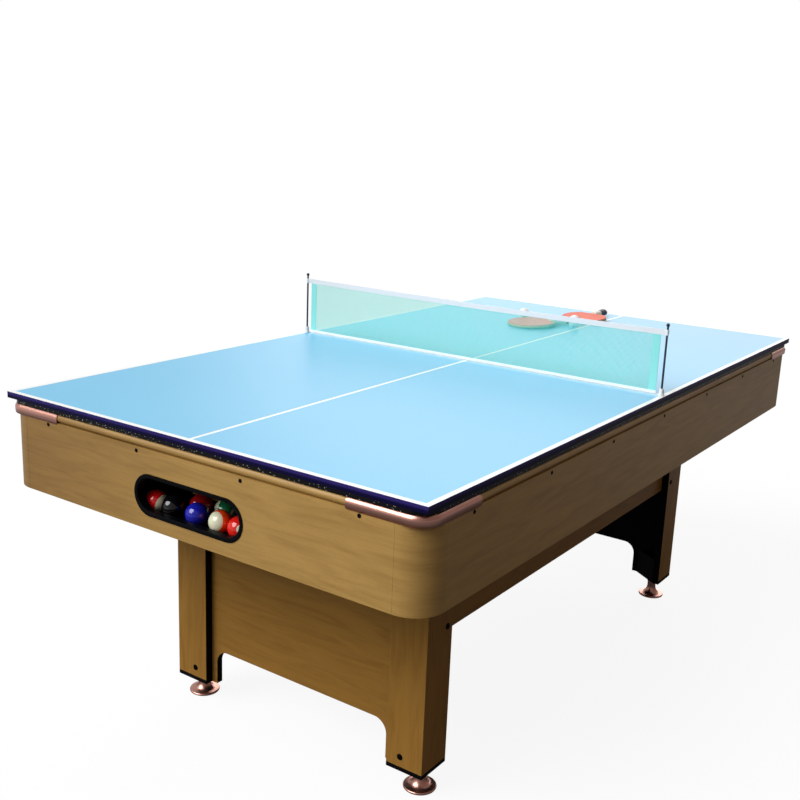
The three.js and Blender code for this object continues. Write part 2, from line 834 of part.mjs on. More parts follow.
function addLegs() {
  for (const end of ends) {
    for (const side of sides) {
      const x = (inset) => side.sign * (legOuterX - inset);
      const y = (inset) => end.sign * (legOuterY - inset);
      const corner = shapeOf([
        [x(0), y(0)],
        [x(legReach), y(0)],
        [x(legReach), y(legBoard)],
        [x(legBoard), y(legBoard)],
        [x(legBoard), y(legReach)],
        [x(0), y(legReach)],
      ]);
      const backOfPanel = legBoard + panelThickness + 2 * seatGap;
      const gusset = shapeOf([
        [x(legBoard / 2), y(backOfPanel)],
        [x(legBoard + blockAlongX), y(backOfPanel)],
        [x(legBoard), y(backOfPanel + blockAlongY)],
        [x(legBoard / 2), y(backOfPanel + blockAlongY)],
      ]);
      const stemX = side.sign * (legOuterX - levellerInsetX);
      const stemY = end.sign * (legOuterY - levellerInsetY);
      const holeTopZ = legBottomZ + stemLength + overrun;
      const hole = post(stemRadius + plugGap, stemX, stemY, legBottomZ - overrun, holeTopZ);
      const leg = solidOf(slab(corner, legBottomZ, frameTopZ))
        .add(solidOf(slab(gusset, legBottomZ, legBottomZ + blockHeight)))
        .subtract(solidOf(hole));
      addMesh(`leg_${end.label}_${side.label}`, geometryOf(leg), materials.beech);
    }
  }
}

function addEndPanels() {
  const halfX = legOuterX - legBoard - seatGap;
  const frontY = legOuterY - legBoard - seatGap;
  const shape = new THREE.Shape();
  shape.moveTo(-halfX, legBottomZ);
  shape.lineTo(-archHalfWidth, legBottomZ);
  shape.lineTo(-archHalfWidth, archTopZ - archRadius);
  shape.absarc(-archHalfWidth + archRadius, archTopZ - archRadius, archRadius, Math.PI, Math.PI / 2, true);
  shape.lineTo(archHalfWidth - archRadius, archTopZ);
  shape.absarc(archHalfWidth - archRadius, archTopZ - archRadius, archRadius, Math.PI / 2, 0, true);
  shape.lineTo(archHalfWidth, legBottomZ);
  shape.lineTo(halfX, legBottomZ);
  shape.lineTo(halfX, frameTopZ);
  shape.lineTo(-halfX, frameTopZ);
  shape.closePath();
  for (const end of ends) {
    const lowY = end.sign < 0 ? -frontY : frontY - panelThickness;
    const panel = plank(shape, lowY, lowY + panelThickness);
    addMesh(`end_panel_${end.label}`, geometryOf(solidOf(panel)), materials.beechDark);
  }
}

function addSideBeams() {
  const outerX = legOuterX - legBoard - seatGap;
  const endY = legOuterY - legBoard - panelThickness - 2 * seatGap;
  for (const side of sides) {
    const lowX = side.sign < 0 ? -outerX : outerX - panelThickness;
    const geometry = block(lowX, lowX + panelThickness, -endY, endY, beamBottomZ, frameTopZ);
    addMesh(`side_beam_${side.label}`, geometry, materials.beechDark);
  }
}

function levellerProfile() {
  const neckZ = legBottomZ - seatGap;
  const rimPoints = [];
  for (let i = 0; i <= arcSteps / 2; i += 1) {
    const angle = (-Math.PI / 2) + (i / (arcSteps / 2)) * Math.PI;
    const half = bellRim / 2;
    rimPoints.push([bellRadius - half + half * Math.cos(angle), half + half * Math.sin(angle)]);
  }
  const flare = [];
  for (let i = 1; i <= arcSteps / 2; i += 1) {
    const angle = (i / (arcSteps / 2)) * (Math.PI / 2);
    const reach = bellRadius - bellBaseInset - bellRim / 2 - bellNeckRadius;
    const rise = bellHeight - bellRim;
    flare.push([bellNeckRadius + reach * (1 - Math.sin(angle)), bellRim + rise * (1 - Math.cos(angle))]);
  }
  const stemTopZ = neckZ + stemLength;
  const stem = [[bellNeckRadius, neckZ], [stemRadius, neckZ], [stemRadius, stemTopZ], [0, stemTopZ]];
  return [[0, 0], ...rimPoints, ...flare, ...stem];
}

function addLevellers() {
  for (const end of ends) {
    for (const side of sides) {
      const x = side.sign * (legOuterX - levellerInsetX);
      const y = end.sign * (legOuterY - levellerInsetY);
      const geometry = turned(levellerProfile(), x, y);
      addMesh(`leveller_${end.label}_${side.label}`, geometryOf(outward(geometry)), materials.copper);
    }
  }
}

function addNetPosts() {
  const socketZ = playHeight + seatGap;
  const knobZ = playHeight + postHeight;
  const knob = [];
  for (let i = 0; i <= arcSteps; i += 1) {
    const angle = (i / arcSteps) * Math.PI;
    const radius = knobRadius * Math.sin(angle);
    if (i === arcSteps || radius > rodRadius || i > arcSteps / 2) {
      knob.push([i === arcSteps ? 0 : radius, knobZ + knobRadius - knobRadius * Math.cos(angle)]);
    }
  }
  const profile = [
    [0, playHeight - pegLength],
    [rodRadius, playHeight - pegLength],
    [rodRadius, socketZ],
    [socketRadius, socketZ],
    [socketRadius, socketZ + socketHeight],
    [rodRadius, socketZ + socketHeight],
    [rodRadius, knobZ],
    ...knob,
  ];
  for (const side of sides) {
    const geometry = turned(profile, side.sign * (halfWidth - postInset), -netOffset, arcSteps * 2);
    addMesh(`net_post_${side.label}`, geometryOf(outward(geometry)), materials.steel);
  }
}

// The net is a flat sheet of cells between lines across and upwards. Every second cell is a gap,
// and at each end only the top tape reaches the rod.
function addNet() {
  const halfNet = halfWidth - postInset - rodRadius - plugGap;
  const bodyHalf = halfNet - netTab;
  const gridHalf = bodyHalf - netHemSide;
  const pitchX = (2 * gridHalf) / netColumns;
  const lowZ = playHeight + netFoot;
  const across = [-halfNet, -bodyHalf];
  for (let column = 0; column < netColumns; column += 1) {
    across.push(-gridHalf + column * pitchX + netStrand / 2);
    across.push(-gridHalf + (column + 1) * pitchX - netStrand / 2);
  }
  across.push(bodyHalf, halfNet);
  const upwards = (x) => {
    const highZ = playHeight + netHeight - netSag * (1 - (x / halfNet) ** 2);
    const pitchZ = (highZ - netTape - lowZ - netHem) / netRows;
    const lines = [lowZ];
    for (let row = 0; row < netRows; row += 1) {
      lines.push(lowZ + netHem + row * pitchZ + netStrand / 2);
      lines.push(lowZ + netHem + (row + 1) * pitchZ - netStrand / 2);
    }
    lines.push(highZ);
    return lines;
  };
  const cellsUp = 2 * netRows + 1;
  const cellsAcross = across.length - 1;
  const positions = [];
  for (const y of [-netOffset - netThickness / 2, -netOffset + netThickness / 2]) {
    for (const x of across) {
      for (const z of upwards(x)) {
        positions.push(x, y, z);
      }
    }
  }
  const back = positions.length / 6;
  const isCloth = (i, j) => {
    const inside = i > 0 && i < cellsAcross - 1 && j >= 0 && j < cellsUp;
    const tab = (i === 0 || i === cellsAcross - 1) && j === cellsUp - 1;
    return tab || (inside && !(i % 2 === 0 && j % 2 === 1));
  };
  const index = [];
  for (let i = 0; i < cellsAcross; i += 1) {
    for (let j = 0; j < cellsUp; j += 1) {
      if (isCloth(i, j)) {
        const a = i * (cellsUp + 1) + j;
        const b = a + cellsUp + 1;
        const c = b + 1;
        const d = a + 1;
        index.push(a, b, c, a, c, d);
        index.push(back + a, back + c, back + b, back + a, back + d, back + c);
        const edges = [[a, b, i, j - 1], [b, c, i + 1, j], [c, d, i, j + 1], [d, a, i - 1, j]];
        for (const [from, to, nextI, nextJ] of edges) {
          if (!isCloth(nextI, nextJ)) {
            index.push(back + from, back + to, to, back + from, to, from);
          }
        }
      }
    }
  }
  const geometry = new THREE.BufferGeometry();
  geometry.setAttribute('position', new THREE.Float32BufferAttribute(positions, 3));
  geometry.setIndex(index);
  addMesh('net', geometryOf(outward(geometry)), materials.net);
}

// A bat lies on its blade's tip and the start of its thicker handle, so it leans a little.
function batGeometry() {
  const blade = new THREE.Shape();
  blade.absellipse(0, 0, bladeLength / 2, bladeWidth / 2, 0, 2 * Math.PI, false);
  const handleStart = bladeLength / 2 - handleLap;
  const grip = new THREE.Shape();
  const radius = handleThickness / 2;
  grip.moveTo(-handleWidth / 2 + radius, -radius);
  grip.lineTo(handleWidth / 2 - radius, -radius);
  grip.absarc(handleWidth / 2 - radius, 0, radius, -Math.PI / 2, Math.PI / 2, false);
  grip.lineTo(-handleWidth / 2 + radius, radius);
  grip.absarc(-handleWidth / 2 + radius, 0, radius, Math.PI / 2, 1.5 * Math.PI, false);
  const shaft = { depth: handleLength, bevelEnabled: false, curveSegments: arcSteps };
  const handle = new THREE.ExtrudeGeometry(grip, shaft);
  handle.applyMatrix4(new THREE.Matrix4().makeBasis(
    new THREE.Vector3(0, 1, 0),
    new THREE.Vector3(0, 0, 1),
    new THREE.Vector3(1, 0, 0),
  ));
  handle.translate(handleStart, 0, 0);
  const plate = slab(blade, -bladeThickness / 2, bladeThickness / 2, roundSteps / 2);
  return geometryOf(solidOf(plate).add(solidOf(handle)));
}

function besideSpot({ acrossBladeShare, alongBladeShare }) {
  return {
    x: batSpot.acrossShare * halfWidth + acrossBladeShare * bladeLength,
    y: batSpot.alongShare * halfLength + alongBladeShare * bladeLength,
  };
}

function addBats() {
  const span = bladeLength - handleLap;
  const lean = Math.asin((handleThickness - bladeThickness) / 2 / span);
  for (const place of batPlaces) {
    const middleZ = playHeight + seatGap + bladeThickness / 2 + (bladeLength / 2) * Math.sin(lean);
    const { x, y } = besideSpot(place);
    const bat = addMesh(place.name, batGeometry(), materials.batRed);
    bat.rotation.order = 'ZYX';
    bat.rotation.set(0, -lean, THREE.MathUtils.degToRad(place.turnDegrees));
    bat.position.set(x, y, middleZ);
  }
}

function addTennisBalls() {
  for (const place of tennisBallPlaces) {
    const { x, y } = besideSpot(place);
    addMesh(place.name, ball(tennisBallRadius, x, y, playHeight), materials.whiteBall);
  }
}

addBoards();
addNetPosts();
addNet();
addBats();
addTennisBalls();
addRails();
addCornerCaps();
addAprons();
addCornerPosts();
addBed();
addCushions();
addPockets();
addBallRunner();
addBallBox();
addBezel();
addPoolBalls();
addLegs();
addEndPanels();
addSideBeams();
addLevellers();

export default table;
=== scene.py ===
"""Multi game table: a pool table under a two-piece table-tennis top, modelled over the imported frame.

Metres, +Z up. X runs across the table, Y along it, with the ball window at -Y.
"""

import json
import math

import bpy
from bpy.props import FloatProperty, FloatVectorProperty, PointerProperty
from mathutils import Matrix, Vector

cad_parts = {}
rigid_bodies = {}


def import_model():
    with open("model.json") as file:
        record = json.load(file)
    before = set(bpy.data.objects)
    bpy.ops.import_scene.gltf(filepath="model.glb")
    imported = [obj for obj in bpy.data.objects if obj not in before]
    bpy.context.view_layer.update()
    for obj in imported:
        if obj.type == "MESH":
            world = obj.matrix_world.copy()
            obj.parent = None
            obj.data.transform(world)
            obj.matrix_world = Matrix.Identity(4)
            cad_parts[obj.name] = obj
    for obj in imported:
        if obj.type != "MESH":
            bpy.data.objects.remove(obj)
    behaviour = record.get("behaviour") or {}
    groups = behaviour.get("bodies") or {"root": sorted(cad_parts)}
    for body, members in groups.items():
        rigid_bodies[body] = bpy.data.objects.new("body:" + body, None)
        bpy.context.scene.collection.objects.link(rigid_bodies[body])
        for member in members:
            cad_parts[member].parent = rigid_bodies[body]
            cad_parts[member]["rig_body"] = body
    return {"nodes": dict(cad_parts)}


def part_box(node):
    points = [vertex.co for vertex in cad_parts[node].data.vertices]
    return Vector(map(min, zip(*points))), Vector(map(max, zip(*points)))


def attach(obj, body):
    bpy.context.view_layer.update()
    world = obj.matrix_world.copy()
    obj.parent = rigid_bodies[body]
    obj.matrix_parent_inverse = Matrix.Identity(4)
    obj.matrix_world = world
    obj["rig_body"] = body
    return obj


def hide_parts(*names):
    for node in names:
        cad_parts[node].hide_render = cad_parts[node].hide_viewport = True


bl_info = {
    "name": "Multi Game Table",
    "version": (1, 0, 0),
    "blender": (4, 5, 0),
    "location": "3D View > Sidebar > Games",
    "description": "Builds the boards, net, rails, cabinet, legs and finishes of a multi game table",
    "category": "Add Mesh",
}

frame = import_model()
NODES = frame["nodes"]
SIDES = {"left": -1, "right": 1}
ENDS = {"front": -1, "back": 1}
CORNERS = [(f"{end}_{side}", x, y) for end, y in ENDS.items() for side, x in SIDES.items()]

# The table's planes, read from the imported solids.
BOARD_LOW, BOARD_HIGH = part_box("tennis_board_front")
BACK_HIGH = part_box("tennis_board_back")[1]
LEG_LOW, LEG_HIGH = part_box("leg_front_right")
HALF_WIDTH = BOARD_HIGH.x
HALF_LENGTH = BACK_HIGH.y
PLAY_HEIGHT = BOARD_HIGH.z
RAIL_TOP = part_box("rail_front")[1].z

# From this angle on an edge counts as sharp, and this is how far moulding rounds it.
SHARP = math.radians(35)
MOULDED_EDGE = 0.0006

# Points closer than this are one point, and a point is on a plane within this much.
TOUCHING = 0.00001

# Sockets of the Mix node when it mixes colours.
MIX_SHARE = 0
MIX_FIRST = 6
MIX_SECOND = 7
MIX_RESULT = 2


def srgb(code):
    """Turns a colour written as sRGB hex into linear red, green, blue and alpha."""
    channels = [int(code[place : place + 2], 16) / 255 for place in (1, 3, 5)]
    linear = [c / 12.92 if c <= 0.04045 else ((c + 0.055) / 1.055) ** 2.4 for c in channels]
    return (*linear, 1.0)


def per_metre(millimetres):
    """How often a pattern of this size repeats in a metre."""
    return 1000.0 / millimetres


def panel_length(name, description, default):
    """A length that the panel shows."""
    return FloatProperty(name=name, description=description, default=default, unit="LENGTH")


def panel_colour(name, description, code):
    """A colour that the panel shows, by default the one written in hex."""
    return FloatVectorProperty(
        name=name, description=description, default=srgb(code), size=4, subtype="COLOR"
    )


class TableSizes(bpy.types.PropertyGroup):
    """Sizes of the trim and finish that a user would change."""

    border_line: panel_length(
        "Border line", "Width of the white line round the table-tennis top", 0.013
    )
    centre_line: panel_length(
        "Centre line", "Width of the white line along the middle of the top", 0.009
    )
    net_line: panel_length(
        "Line under the net", "Width of the white line across the top at the net", 0.012
    )
    edge_softness: panel_length("Edge rounding", "Width of the rounding on wooden edges", 0.0008)
    net_pitch: panel_length("Net mesh", "Distance from cord to cord in the net", 0.003)
    net_cord: panel_length("Net cord", "Thickness of one cord of the net", 0.00067)
    net_tape: panel_length("Net tape", "Height of the white tape along the top of the net", 0.014)
    screw_radius: panel_length("Screw head", "Radius of the black screw heads on the cabinet", 0.0045)
    bolt_radius: panel_length("Bolt cap", "Radius of the black caps over the leg bolts", 0.0075)
    shoe_height: panel_length(
        "Leg shoe", "Height of the black plastic shoe at the bottom of each leg", 0.011
    )
    rubber: panel_length("Bat rubber", "Thickness of the rubber on each side of a bat", 0.002)


class TableColours(bpy.types.PropertyGroup):
    """Colours that a user would change."""

    board_blue: panel_colour("Board blue", "Paint of the table-tennis top", "#7DC8EC")
    beech: panel_colour("Beech", "Middle tone of the beech foil on the cabinet", "#AD884A")
    # Painted shade: the same beech, darkened for the legs, end panels and beams in the shade under the
    # table.
    shade_painted_beech: panel_colour(
        "Dark beech", "Middle tone of the beech foil on legs, end panels and beams", "#986E31"
    )
    copper: panel_colour("Copper", "Plating of the corner caps and levellers", "#D79F90")
    net_green: panel_colour("Net green", "Nylon of the net", "#6CF0E0")
    cloth: panel_colour("Cloth", "Wool cloth of the pool bed", "#2F6FAE")


def sizes():
    """The sizes set in the panel."""
    return bpy.context.scene.table_sizes


def colours():
    """The colours set in the panel."""
    return bpy.context.scene.table_colours


def shade(colour, red, green, blue):
    """A colour with its channels made lighter or darker."""
    return (colour[0] * red, colour[1] * green, colour[2] * blue, 1)


def add_node(tree, kind, inputs=None, **settings):
    """Adds a node with its settings. An input is a plain value, or the socket that it is linked from."""
    node = tree.nodes.new(kind)
    for name, value in settings.items():
        setattr(node, name, value)
    for name, value in (inputs or {}).items():
        if isinstance(value, bpy.types.NodeSocket):
            tree.links.new(value, node.inputs[name])
        else:
            node.inputs[name].default_value = value
    return node


def made_once(maker):
    """Keeps each material that a maker has made, so that like pieces share it."""
    made = {}

    def give(*words):
        if words not in made:
            made[words] = maker(*words)
        return made[words]

    return give


class Nodes:
    """The nodes of one tree, and the place or direction that its patterns read."""

    def __init__(self, tree, reads="Object"):
        self.tree = tree
        self.place = add_node(tree, "ShaderNodeTexCoord").outputs[reads]
        self.parts = add_node(tree, "ShaderNodeSeparateXYZ", {0: self.place}).outputs

    def maths(self, operation, *values):
        """The result of one operation on plain values or sockets."""
        inputs = dict(enumerate(values))
        return add_node(self.tree, "ShaderNodeMath", inputs, operation=operation).outputs[0]

    def spread(self, value, low=0.0, high=1.0, start=0.0, end=1.0):
        """Turns a value between low and high into one between start and end."""
        inputs = {"Value": value, "From Min": low, "From Max": high, "To Min": start, "To Max": end}
        return add_node(self.tree, "ShaderNodeMapRange", inputs).outputs[0]

    def mix(self, share, first, second, blend="MIX"):
        """Mixes two colours, each a plain one or a socket."""
        inputs = {MIX_SHARE: share, MIX_FIRST: first, MIX_SECOND: second}
        mixed = add_node(self.tree, "ShaderNodeMix", inputs, data_type="RGBA", blend_type=blend)
        return mixed.outputs[MIX_RESULT]

    def drifted(self, base, distance, start, end, tint):
        """Lets a rolled or printed colour drift to a tint of itself between two distances, in metres."""
        return self.mix(self.spread(distance, start, end), base, tint, "MULTIPLY")

    def pattern(self, kind, millimetres, **more):
        """The outputs of a texture of this kind whose features are this many millimetres."""
        inputs = {"Vector": self.place, "Scale": per_metre(millimetres), **more}
        return add_node(self.tree, kind, inputs).outputs

    def noise(self, millimetres, **more):
        """Noise with lumps of this many millimetres."""
        return self.pattern("ShaderNodeTexNoise", millimetres, **more)["Fac"]

    def drawn_noise(self, millimetres, **more):
        """Noise with lumps of these millimetres along X, Y and Z."""
        inputs = {"Vector": self.place, "Scale": [per_metre(size) for size in millimetres]}
        drawn = add_node(self.tree, "ShaderNodeMapping", inputs).outputs[0]
        return self.noise(1000, Vector=drawn, **more)


class Look(Nodes):
    """A material in the making, on its own shader with its constants set there."""

    def __init__(self, name, **constants):
        self.material = bpy.data.materials.new(name)
        self.material.use_nodes = True
        super().__init__(self.material.node_tree)
        self.shader = self.tree.nodes["Principled BSDF"]
        for socket, value in constants.items():
            self.shader.inputs[socket.replace("_", " ")].default_value = value

    def drive(self, name, socket):
        """Lets a pattern drive an input of the shader."""
        self.tree.links.new(socket, self.shader.inputs[name])

    def relief(self, height, depth):
        """Raises the surface by a pattern, as much as depth in metres."""
        inputs = {"Height": height, "Distance": depth, "Strength": 1.0}
        self.drive("Normal", add_node(self.tree, "ShaderNodeBump", inputs).outputs["Normal"])

    def wear(self, colour, height=None, depth=0.0):
        """Finishes the material with its colour and, where there is one, its relief."""
        self.drive("Base Color", colour)
        if height:
            self.relief(height, depth)
        return self.material


@made_once
def painted_board():
    """Chipboard, roller-coated satin blue with painted sheen that turns it greyer and more lavender towards
    the far right corner, and white printed lines.
    """
    look = Look("painted_chipboard", Roughness=0.42)
    across = look.maths("ABSOLUTE", look.parts["X"])
    along = look.maths("ABSOLUTE", look.parts["Y"])
    lines = look.maths("GREATER_THAN", across, HALF_WIDTH - sizes().border_line)
    for line in (
        look.maths("GREATER_THAN", along, HALF_LENGTH - sizes().border_line),
        look.maths("LESS_THAN", across, sizes().centre_line / 2),
        look.maths("LESS_THAN", along, sizes().net_line / 2),
    ):
        lines = look.maths("MAXIMUM", lines, line)
    blue = colours().board_blue
    coat_and_sheen = look.mix(look.noise(380), blue, shade(blue, 0.92, 0.95, 0.97))
    # Painted sheen: the blue is tinted greyer and more lavender towards the far right corner.
    corner = look.maths("ADD", look.parts["X"], look.parts["Y"])
    coat_and_sheen = look.drifted(coat_and_sheen, corner, 0.1, 1.6, (1.12, 0.86, 0.88, 1))
    return look.wear(look.mix(lines, coat_and_sheen, srgb("#F6F7F5")), look.noise(3), 0.00004)


@made_once
def edge_moulding():
    """Extruded PVC edge moulding, navy above, with a painted shadow of the gap under the board making its
    lower few millimetres nearly black: a smooth dull shine.
    """
    look = Look("pvc_edge_moulding", Roughness=0.4, Specular_IOR_Level=0.07)
    # Painted shadow: the edge turns nearly black below, where the gap under the board is in shade.
    rise = look.spread(look.parts["Z"], PLAY_HEIGHT - 0.009, PLAY_HEIGHT - 0.005)
    return look.wear(look.mix(rise, srgb("#0B0830"), srgb("#30266A")), look.noise(14), 0.00005)


@made_once
def board_underside():
    """Raw chipboard sealed with a thin brown wash: chips of a few millimetres, quite dull."""
    look = Look("sealed_chipboard", Roughness=0.8)
    chips = look.pattern("ShaderNodeTexVoronoi", 5)["Distance"]
    return look.wear(look.mix(chips, srgb("#8A7050"), srgb("#6B543A")), chips, 0.0002)


@made_once
def speckled_laminate():
    """High-pressure laminate, black with pale stone-like specks, some in loose clusters, half gloss."""
    look = Look("speckled_laminate", Roughness=0.35, Specular_IOR_Level=0.14)
    cells = look.pattern("ShaderNodeTexVoronoi", 3.6)
    chance = add_node(look.tree, "ShaderNodeSeparateColor", {0: cells["Color"]}, mode="RGB").outputs[0]
    few = look.maths("GREATER_THAN", look.maths("ADD", chance, look.noise(55)), 1.2)
    small = look.maths("LESS_THAN", cells["Distance"], 0.28)
    return look.wear(look.mix(look.maths("MULTIPLY", few, small), srgb("#08080C"), srgb("#B4AFA2")))


@made_once
def beech_foil(grain, depth):
    """Paper foil printed with beech and lacquered: soft waves along the grain, short ray flecks, satin. The
    dark depth is the same foil with painted shade, for the parts under the table.
    """
    light = depth == "light"
    gloss = 0.45 if light else 0.2
    look = Look(f"beech_foil_{grain}_{depth}", Roughness=0.42, Specular_IOR_Level=gloss)
    # The dark depth takes the beech with painted shade, for the parts under the table.
    middle_tone = colours().beech if light else colours().shade_painted_beech
    patterns = []
    for along, across, detail, wander in ((230, 26, 2, 1.6), (120, 3.0, 3, 0.6), (9, 1.4, 1, 0)):
        spans = (along, along, across) if grain == "level" else (across, across, along)
        patterns.append(look.drawn_noise(spans, Detail=detail, Distortion=wander))
    waves, streaks, flecks = patterns
    figure = look.maths("MULTIPLY_ADD", streaks, 0.32, look.maths("MULTIPLY", waves, 0.68))
    tones = add_node(look.tree, "ShaderNodeValToRGB", {"Fac": figure})
    ramp = tones.color_ramp
    ramp.elements[0].position = 0.34
    ramp.elements[0].color = shade(middle_tone, 0.86, 0.84, 0.80)
    ramp.elements[1].position = 0.66
    ramp.elements[1].color = shade(middle_tone, 1.12, 1.13, 1.15)
    ramp.elements.new(0.5).color = middle_tone
    rays = look.spread(flecks, 0.60, 0.70, 0.0, 0.14)
    foil = look.mix(rays, tones.outputs["Color"], shade(middle_tone, 0.4, 0.33, 0.28))
    # The light foil turns darker and more orange towards the left end of the table.
    if light:
        foil = look.drifted(foil, look.parts["X"], 0.04, -HALF_WIDTH, (0.60, 0.53, 0.40, 1))
    return look.wear(foil, streaks, 0.00003)


@made_once
def black_edge_band():
    """Black melamine edge band and inner face of the boards: nearly flat, with a fine press texture."""
    look = Look("black_melamine", Roughness=0.5, Specular_IOR_Level=0.08)
    grit = look.noise(1.5)
    return look.wear(look.mix(grit, srgb("#040406"), srgb("#0B0B0F")), grit, 0.00005)


@made_once
def moulded_black():
    """Injection-moulded black ABS: deep black, a broad soft highlight, fine spark-eroded grain."""
    look = Look("moulded_abs", Base_Color=srgb("#060609"), Specular_IOR_Level=0.05)
    grain = look.noise(0.8, Detail=3)
    look.relief(grain, 0.00003)
    look.drive("Roughness", look.spread(grain, start=0.28, end=0.44))
    return look.material


@made_once
def copper_plate(name, roll_low, roll_high):
    """Copper-plated zinc, polished and lacquered: rosy reflections, darker where the edge rolls under."""
    look = Look(f"copper_plated_{name}", Base_Color=colours().copper, Metallic=1.0)
    marks = look.noise(9, Detail=4)
    look.drive("Roughness", look.spread(marks, start=0.26, end=0.36))
    risen = look.spread(look.parts["Z"], roll_low, roll_high)
    rolled = look.maths("MULTIPLY", look.maths("SUBTRACT", 2.0, risen), risen)
    look.relief(look.maths("MULTIPLY_ADD", marks, 0.004, rolled), 0.005)
    return look.material


@made_once
def dark_steel():
    """Drawn steel rod, painted dark: a thin bright line along it, fine drawing marks."""
    look = Look("painted_steel_rod", Roughness=0.35, Metallic=0.4)
    return look.wear(look.mix(look.drawn_noise((0.6, 0.6, 20)), srgb("#2A2C3C"), srgb("#3C3F50")))


@made_once
def pale_nylon():
    """Moulded pale nylon of the post sockets: slightly see-through white with a soft shine."""
    look = Look("moulded_nylon", Roughness=0.4)
    return look.wear(look.mix(look.noise(4), srgb("#D9DCE0"), srgb("#EDEFF0")))


@made_once
def woven_cloth(name, base, thread):
    """Woven tape or cord of nylon or cotton: crossing threads, dull, with a little sheen."""
    look = Look(name, Roughness=0.8, Sheen_Weight=0.2)
    inputs = {"Vector": look.place, "Scale": per_metre(thread) / 6.28}
    waves = [
        add_node(look.tree, "ShaderNodeTexWave", inputs, bands_direction=direction).outputs["Fac"]
        for direction in ("X", "Z")
    ]
    weave = look.maths("MULTIPLY", *waves)
    return look.wear(look.mix(weave, shade(base, 0.93, 0.93, 0.93), base), weave, 0.0001)


@made_once
def wool_cloth():
    """Napped wool cloth of the bed: a soft mottle of fibres with a light sheen, no shine."""
    look = Look("napped_wool_cloth", Roughness=0.95, Sheen_Weight=0.5)
    fibres = look.noise(1.2, Detail=5)
    share = look.spread(look.maths("MULTIPLY", fibres, look.noise(120)), high=0.5)
    base = colours().cloth
    return look.wear(look.mix(share, shade(base, 0.72, 0.72, 0.72), base), fibres, 0.0003)


@made_once
def bat_rubber(code):
    """Vulcanised rubber sheet, slightly tacky: even colour, broad dull shine, fine dust."""
    look = Look(f"vulcanised_rubber_{code[1:]}", Roughness=0.55)
    dust = look.noise(18, Detail=5)
    return look.wear(look.mix(dust, shade(srgb(code), 0.85, 0.85, 0.85), srgb(code)), dust, 0.00005)


@made_once
def bat_wood(code):
    """Thin beech or lime wood, sanded and oiled: fine straight grain, dull."""
    look = Look(f"sanded_wood_{code[1:]}", Roughness=0.5)
    grain = look.drawn_noise((30, 2.5, 1.5), Detail=3)
    return look.wear(look.mix(grain, srgb(code), shade(srgb(code), 0.74, 0.7, 0.64)))


@made_once
def celluloid():
    """White celluloid of a table-tennis ball: matt and a little see-through."""
    look = Look("celluloid", Roughness=0.5, Subsurface_Weight=0.3, Subsurface_Scale=0.004)
    return look.wear(look.mix(look.noise(6), srgb("#EDEFEC"), srgb("#F7F8F6")))


def phenolic(name, code, centre, radius, axis, striped):
    """Cast phenolic resin of a pool ball, polished: clear deep colour under a hard bright shine."""
    look = Look(f"phenolic_{name}", Roughness=0.07, IOR=1.6)
    inputs = {0: look.place, 1: centre}
    offset = add_node(look.tree, "ShaderNodeVectorMath", inputs, operation="SUBTRACT").outputs[0]
    inputs = {0: offset, 1: Vector(axis).normalized()}
    along = add_node(look.tree, "ShaderNodeVectorMath", inputs, operation="DOT_PRODUCT").outputs["Value"]
    if striped:
        along = look.maths("ABSOLUTE", along)
    pale = look.maths("GREATER_THAN", along, radius * (0.58 if striped else 0.93))
    return look.wear(look.mix(pale, srgb(code), srgb("#E2E2C4")))


def deselect():
    """Leaves edit mode and deselects everything, so that the next operator acts on its own piece alone."""
    if bpy.context.mode != "OBJECT":
        bpy.ops.object.mode_set(mode="OBJECT")
    bpy.ops.object.select_all(action="DESELECT")


def take(piece):
    """Makes one piece the only one selected."""
    deselect()
    piece.select_set(True)
    bpy.context.view_layer.objects.active = piece


def edit(piece):
    """Enters edit mode on one piece with all of it selected."""
    take(piece)
    bpy.ops.object.mode_set(mode="EDIT")
    bpy.ops.mesh.select_all(action="SELECT")


def pick(piece, kind, test):
    """Enters edit mode with only those faces, edges or corners selected that pass the test."""
    edit(piece)
    bpy.ops.mesh.select_mode(type=kind)
    bpy.ops.mesh.select_all(action="DESELECT")
    bpy.ops.object.mode_set(mode="OBJECT")
    mesh = piece.data
    if kind == "FACE":
        for face in mesh.polygons:
            face.select = test(face)
    elif kind == "EDGE":
        for line in mesh.edges:
            line.select = test([mesh.vertices[corner].co for corner in line.vertices])
    else:
        for corner in mesh.vertices:
            corner.select = test(corner.co)
    bpy.ops.object.mode_set(mode="EDIT")


def turn_outwards(piece):
    """Turns all faces of a piece outwards and leaves edit mode."""
    edit(piece)
    bpy.ops.mesh.normals_make_consistent(inside=False)
    deselect()


def merge(piece, distance=TOUCHING):
    """Makes one point of points that nearly touch."""
    edit(piece)
    bpy.ops.mesh.remove_doubles(threshold=distance)


def extrude(x=0.0, y=0.0, z=0.0):
    """Draws out what is selected by this much."""
    bpy.ops.mesh.extrude_region_move(TRANSFORM_OT_translate={"value": (x, y, z)})


def slice_through(piece, place, normal, **more):
    """Cuts all of a piece along a plane."""
    edit(piece)
    bpy.ops.mesh.bisect(plane_co=place, plane_no=normal, **more)


def apply_modifier(piece, kind, **settings):
    """Gives a piece a modifier with these settings and applies it."""
    take(piece)
    modifier = piece.modifiers.new(kind.lower(), kind)
    for name, value in settings.items():
        setattr(modifier, name, value)
    bpy.ops.object.modifier_apply(modifier=modifier.name)


def rename(piece, name):
    """Names a piece and its mesh."""
    piece.name = name
    piece.data.name = name
    return piece


def named_piece(name, scale=(1, 1, 1)):
    """Names the primitive that was just added, and moves its size and place into its mesh."""
    piece = bpy.context.object
    piece.scale = scale
    bpy.ops.object.transform_apply(location=True, rotation=True, scale=True)
    return rename(piece, name)


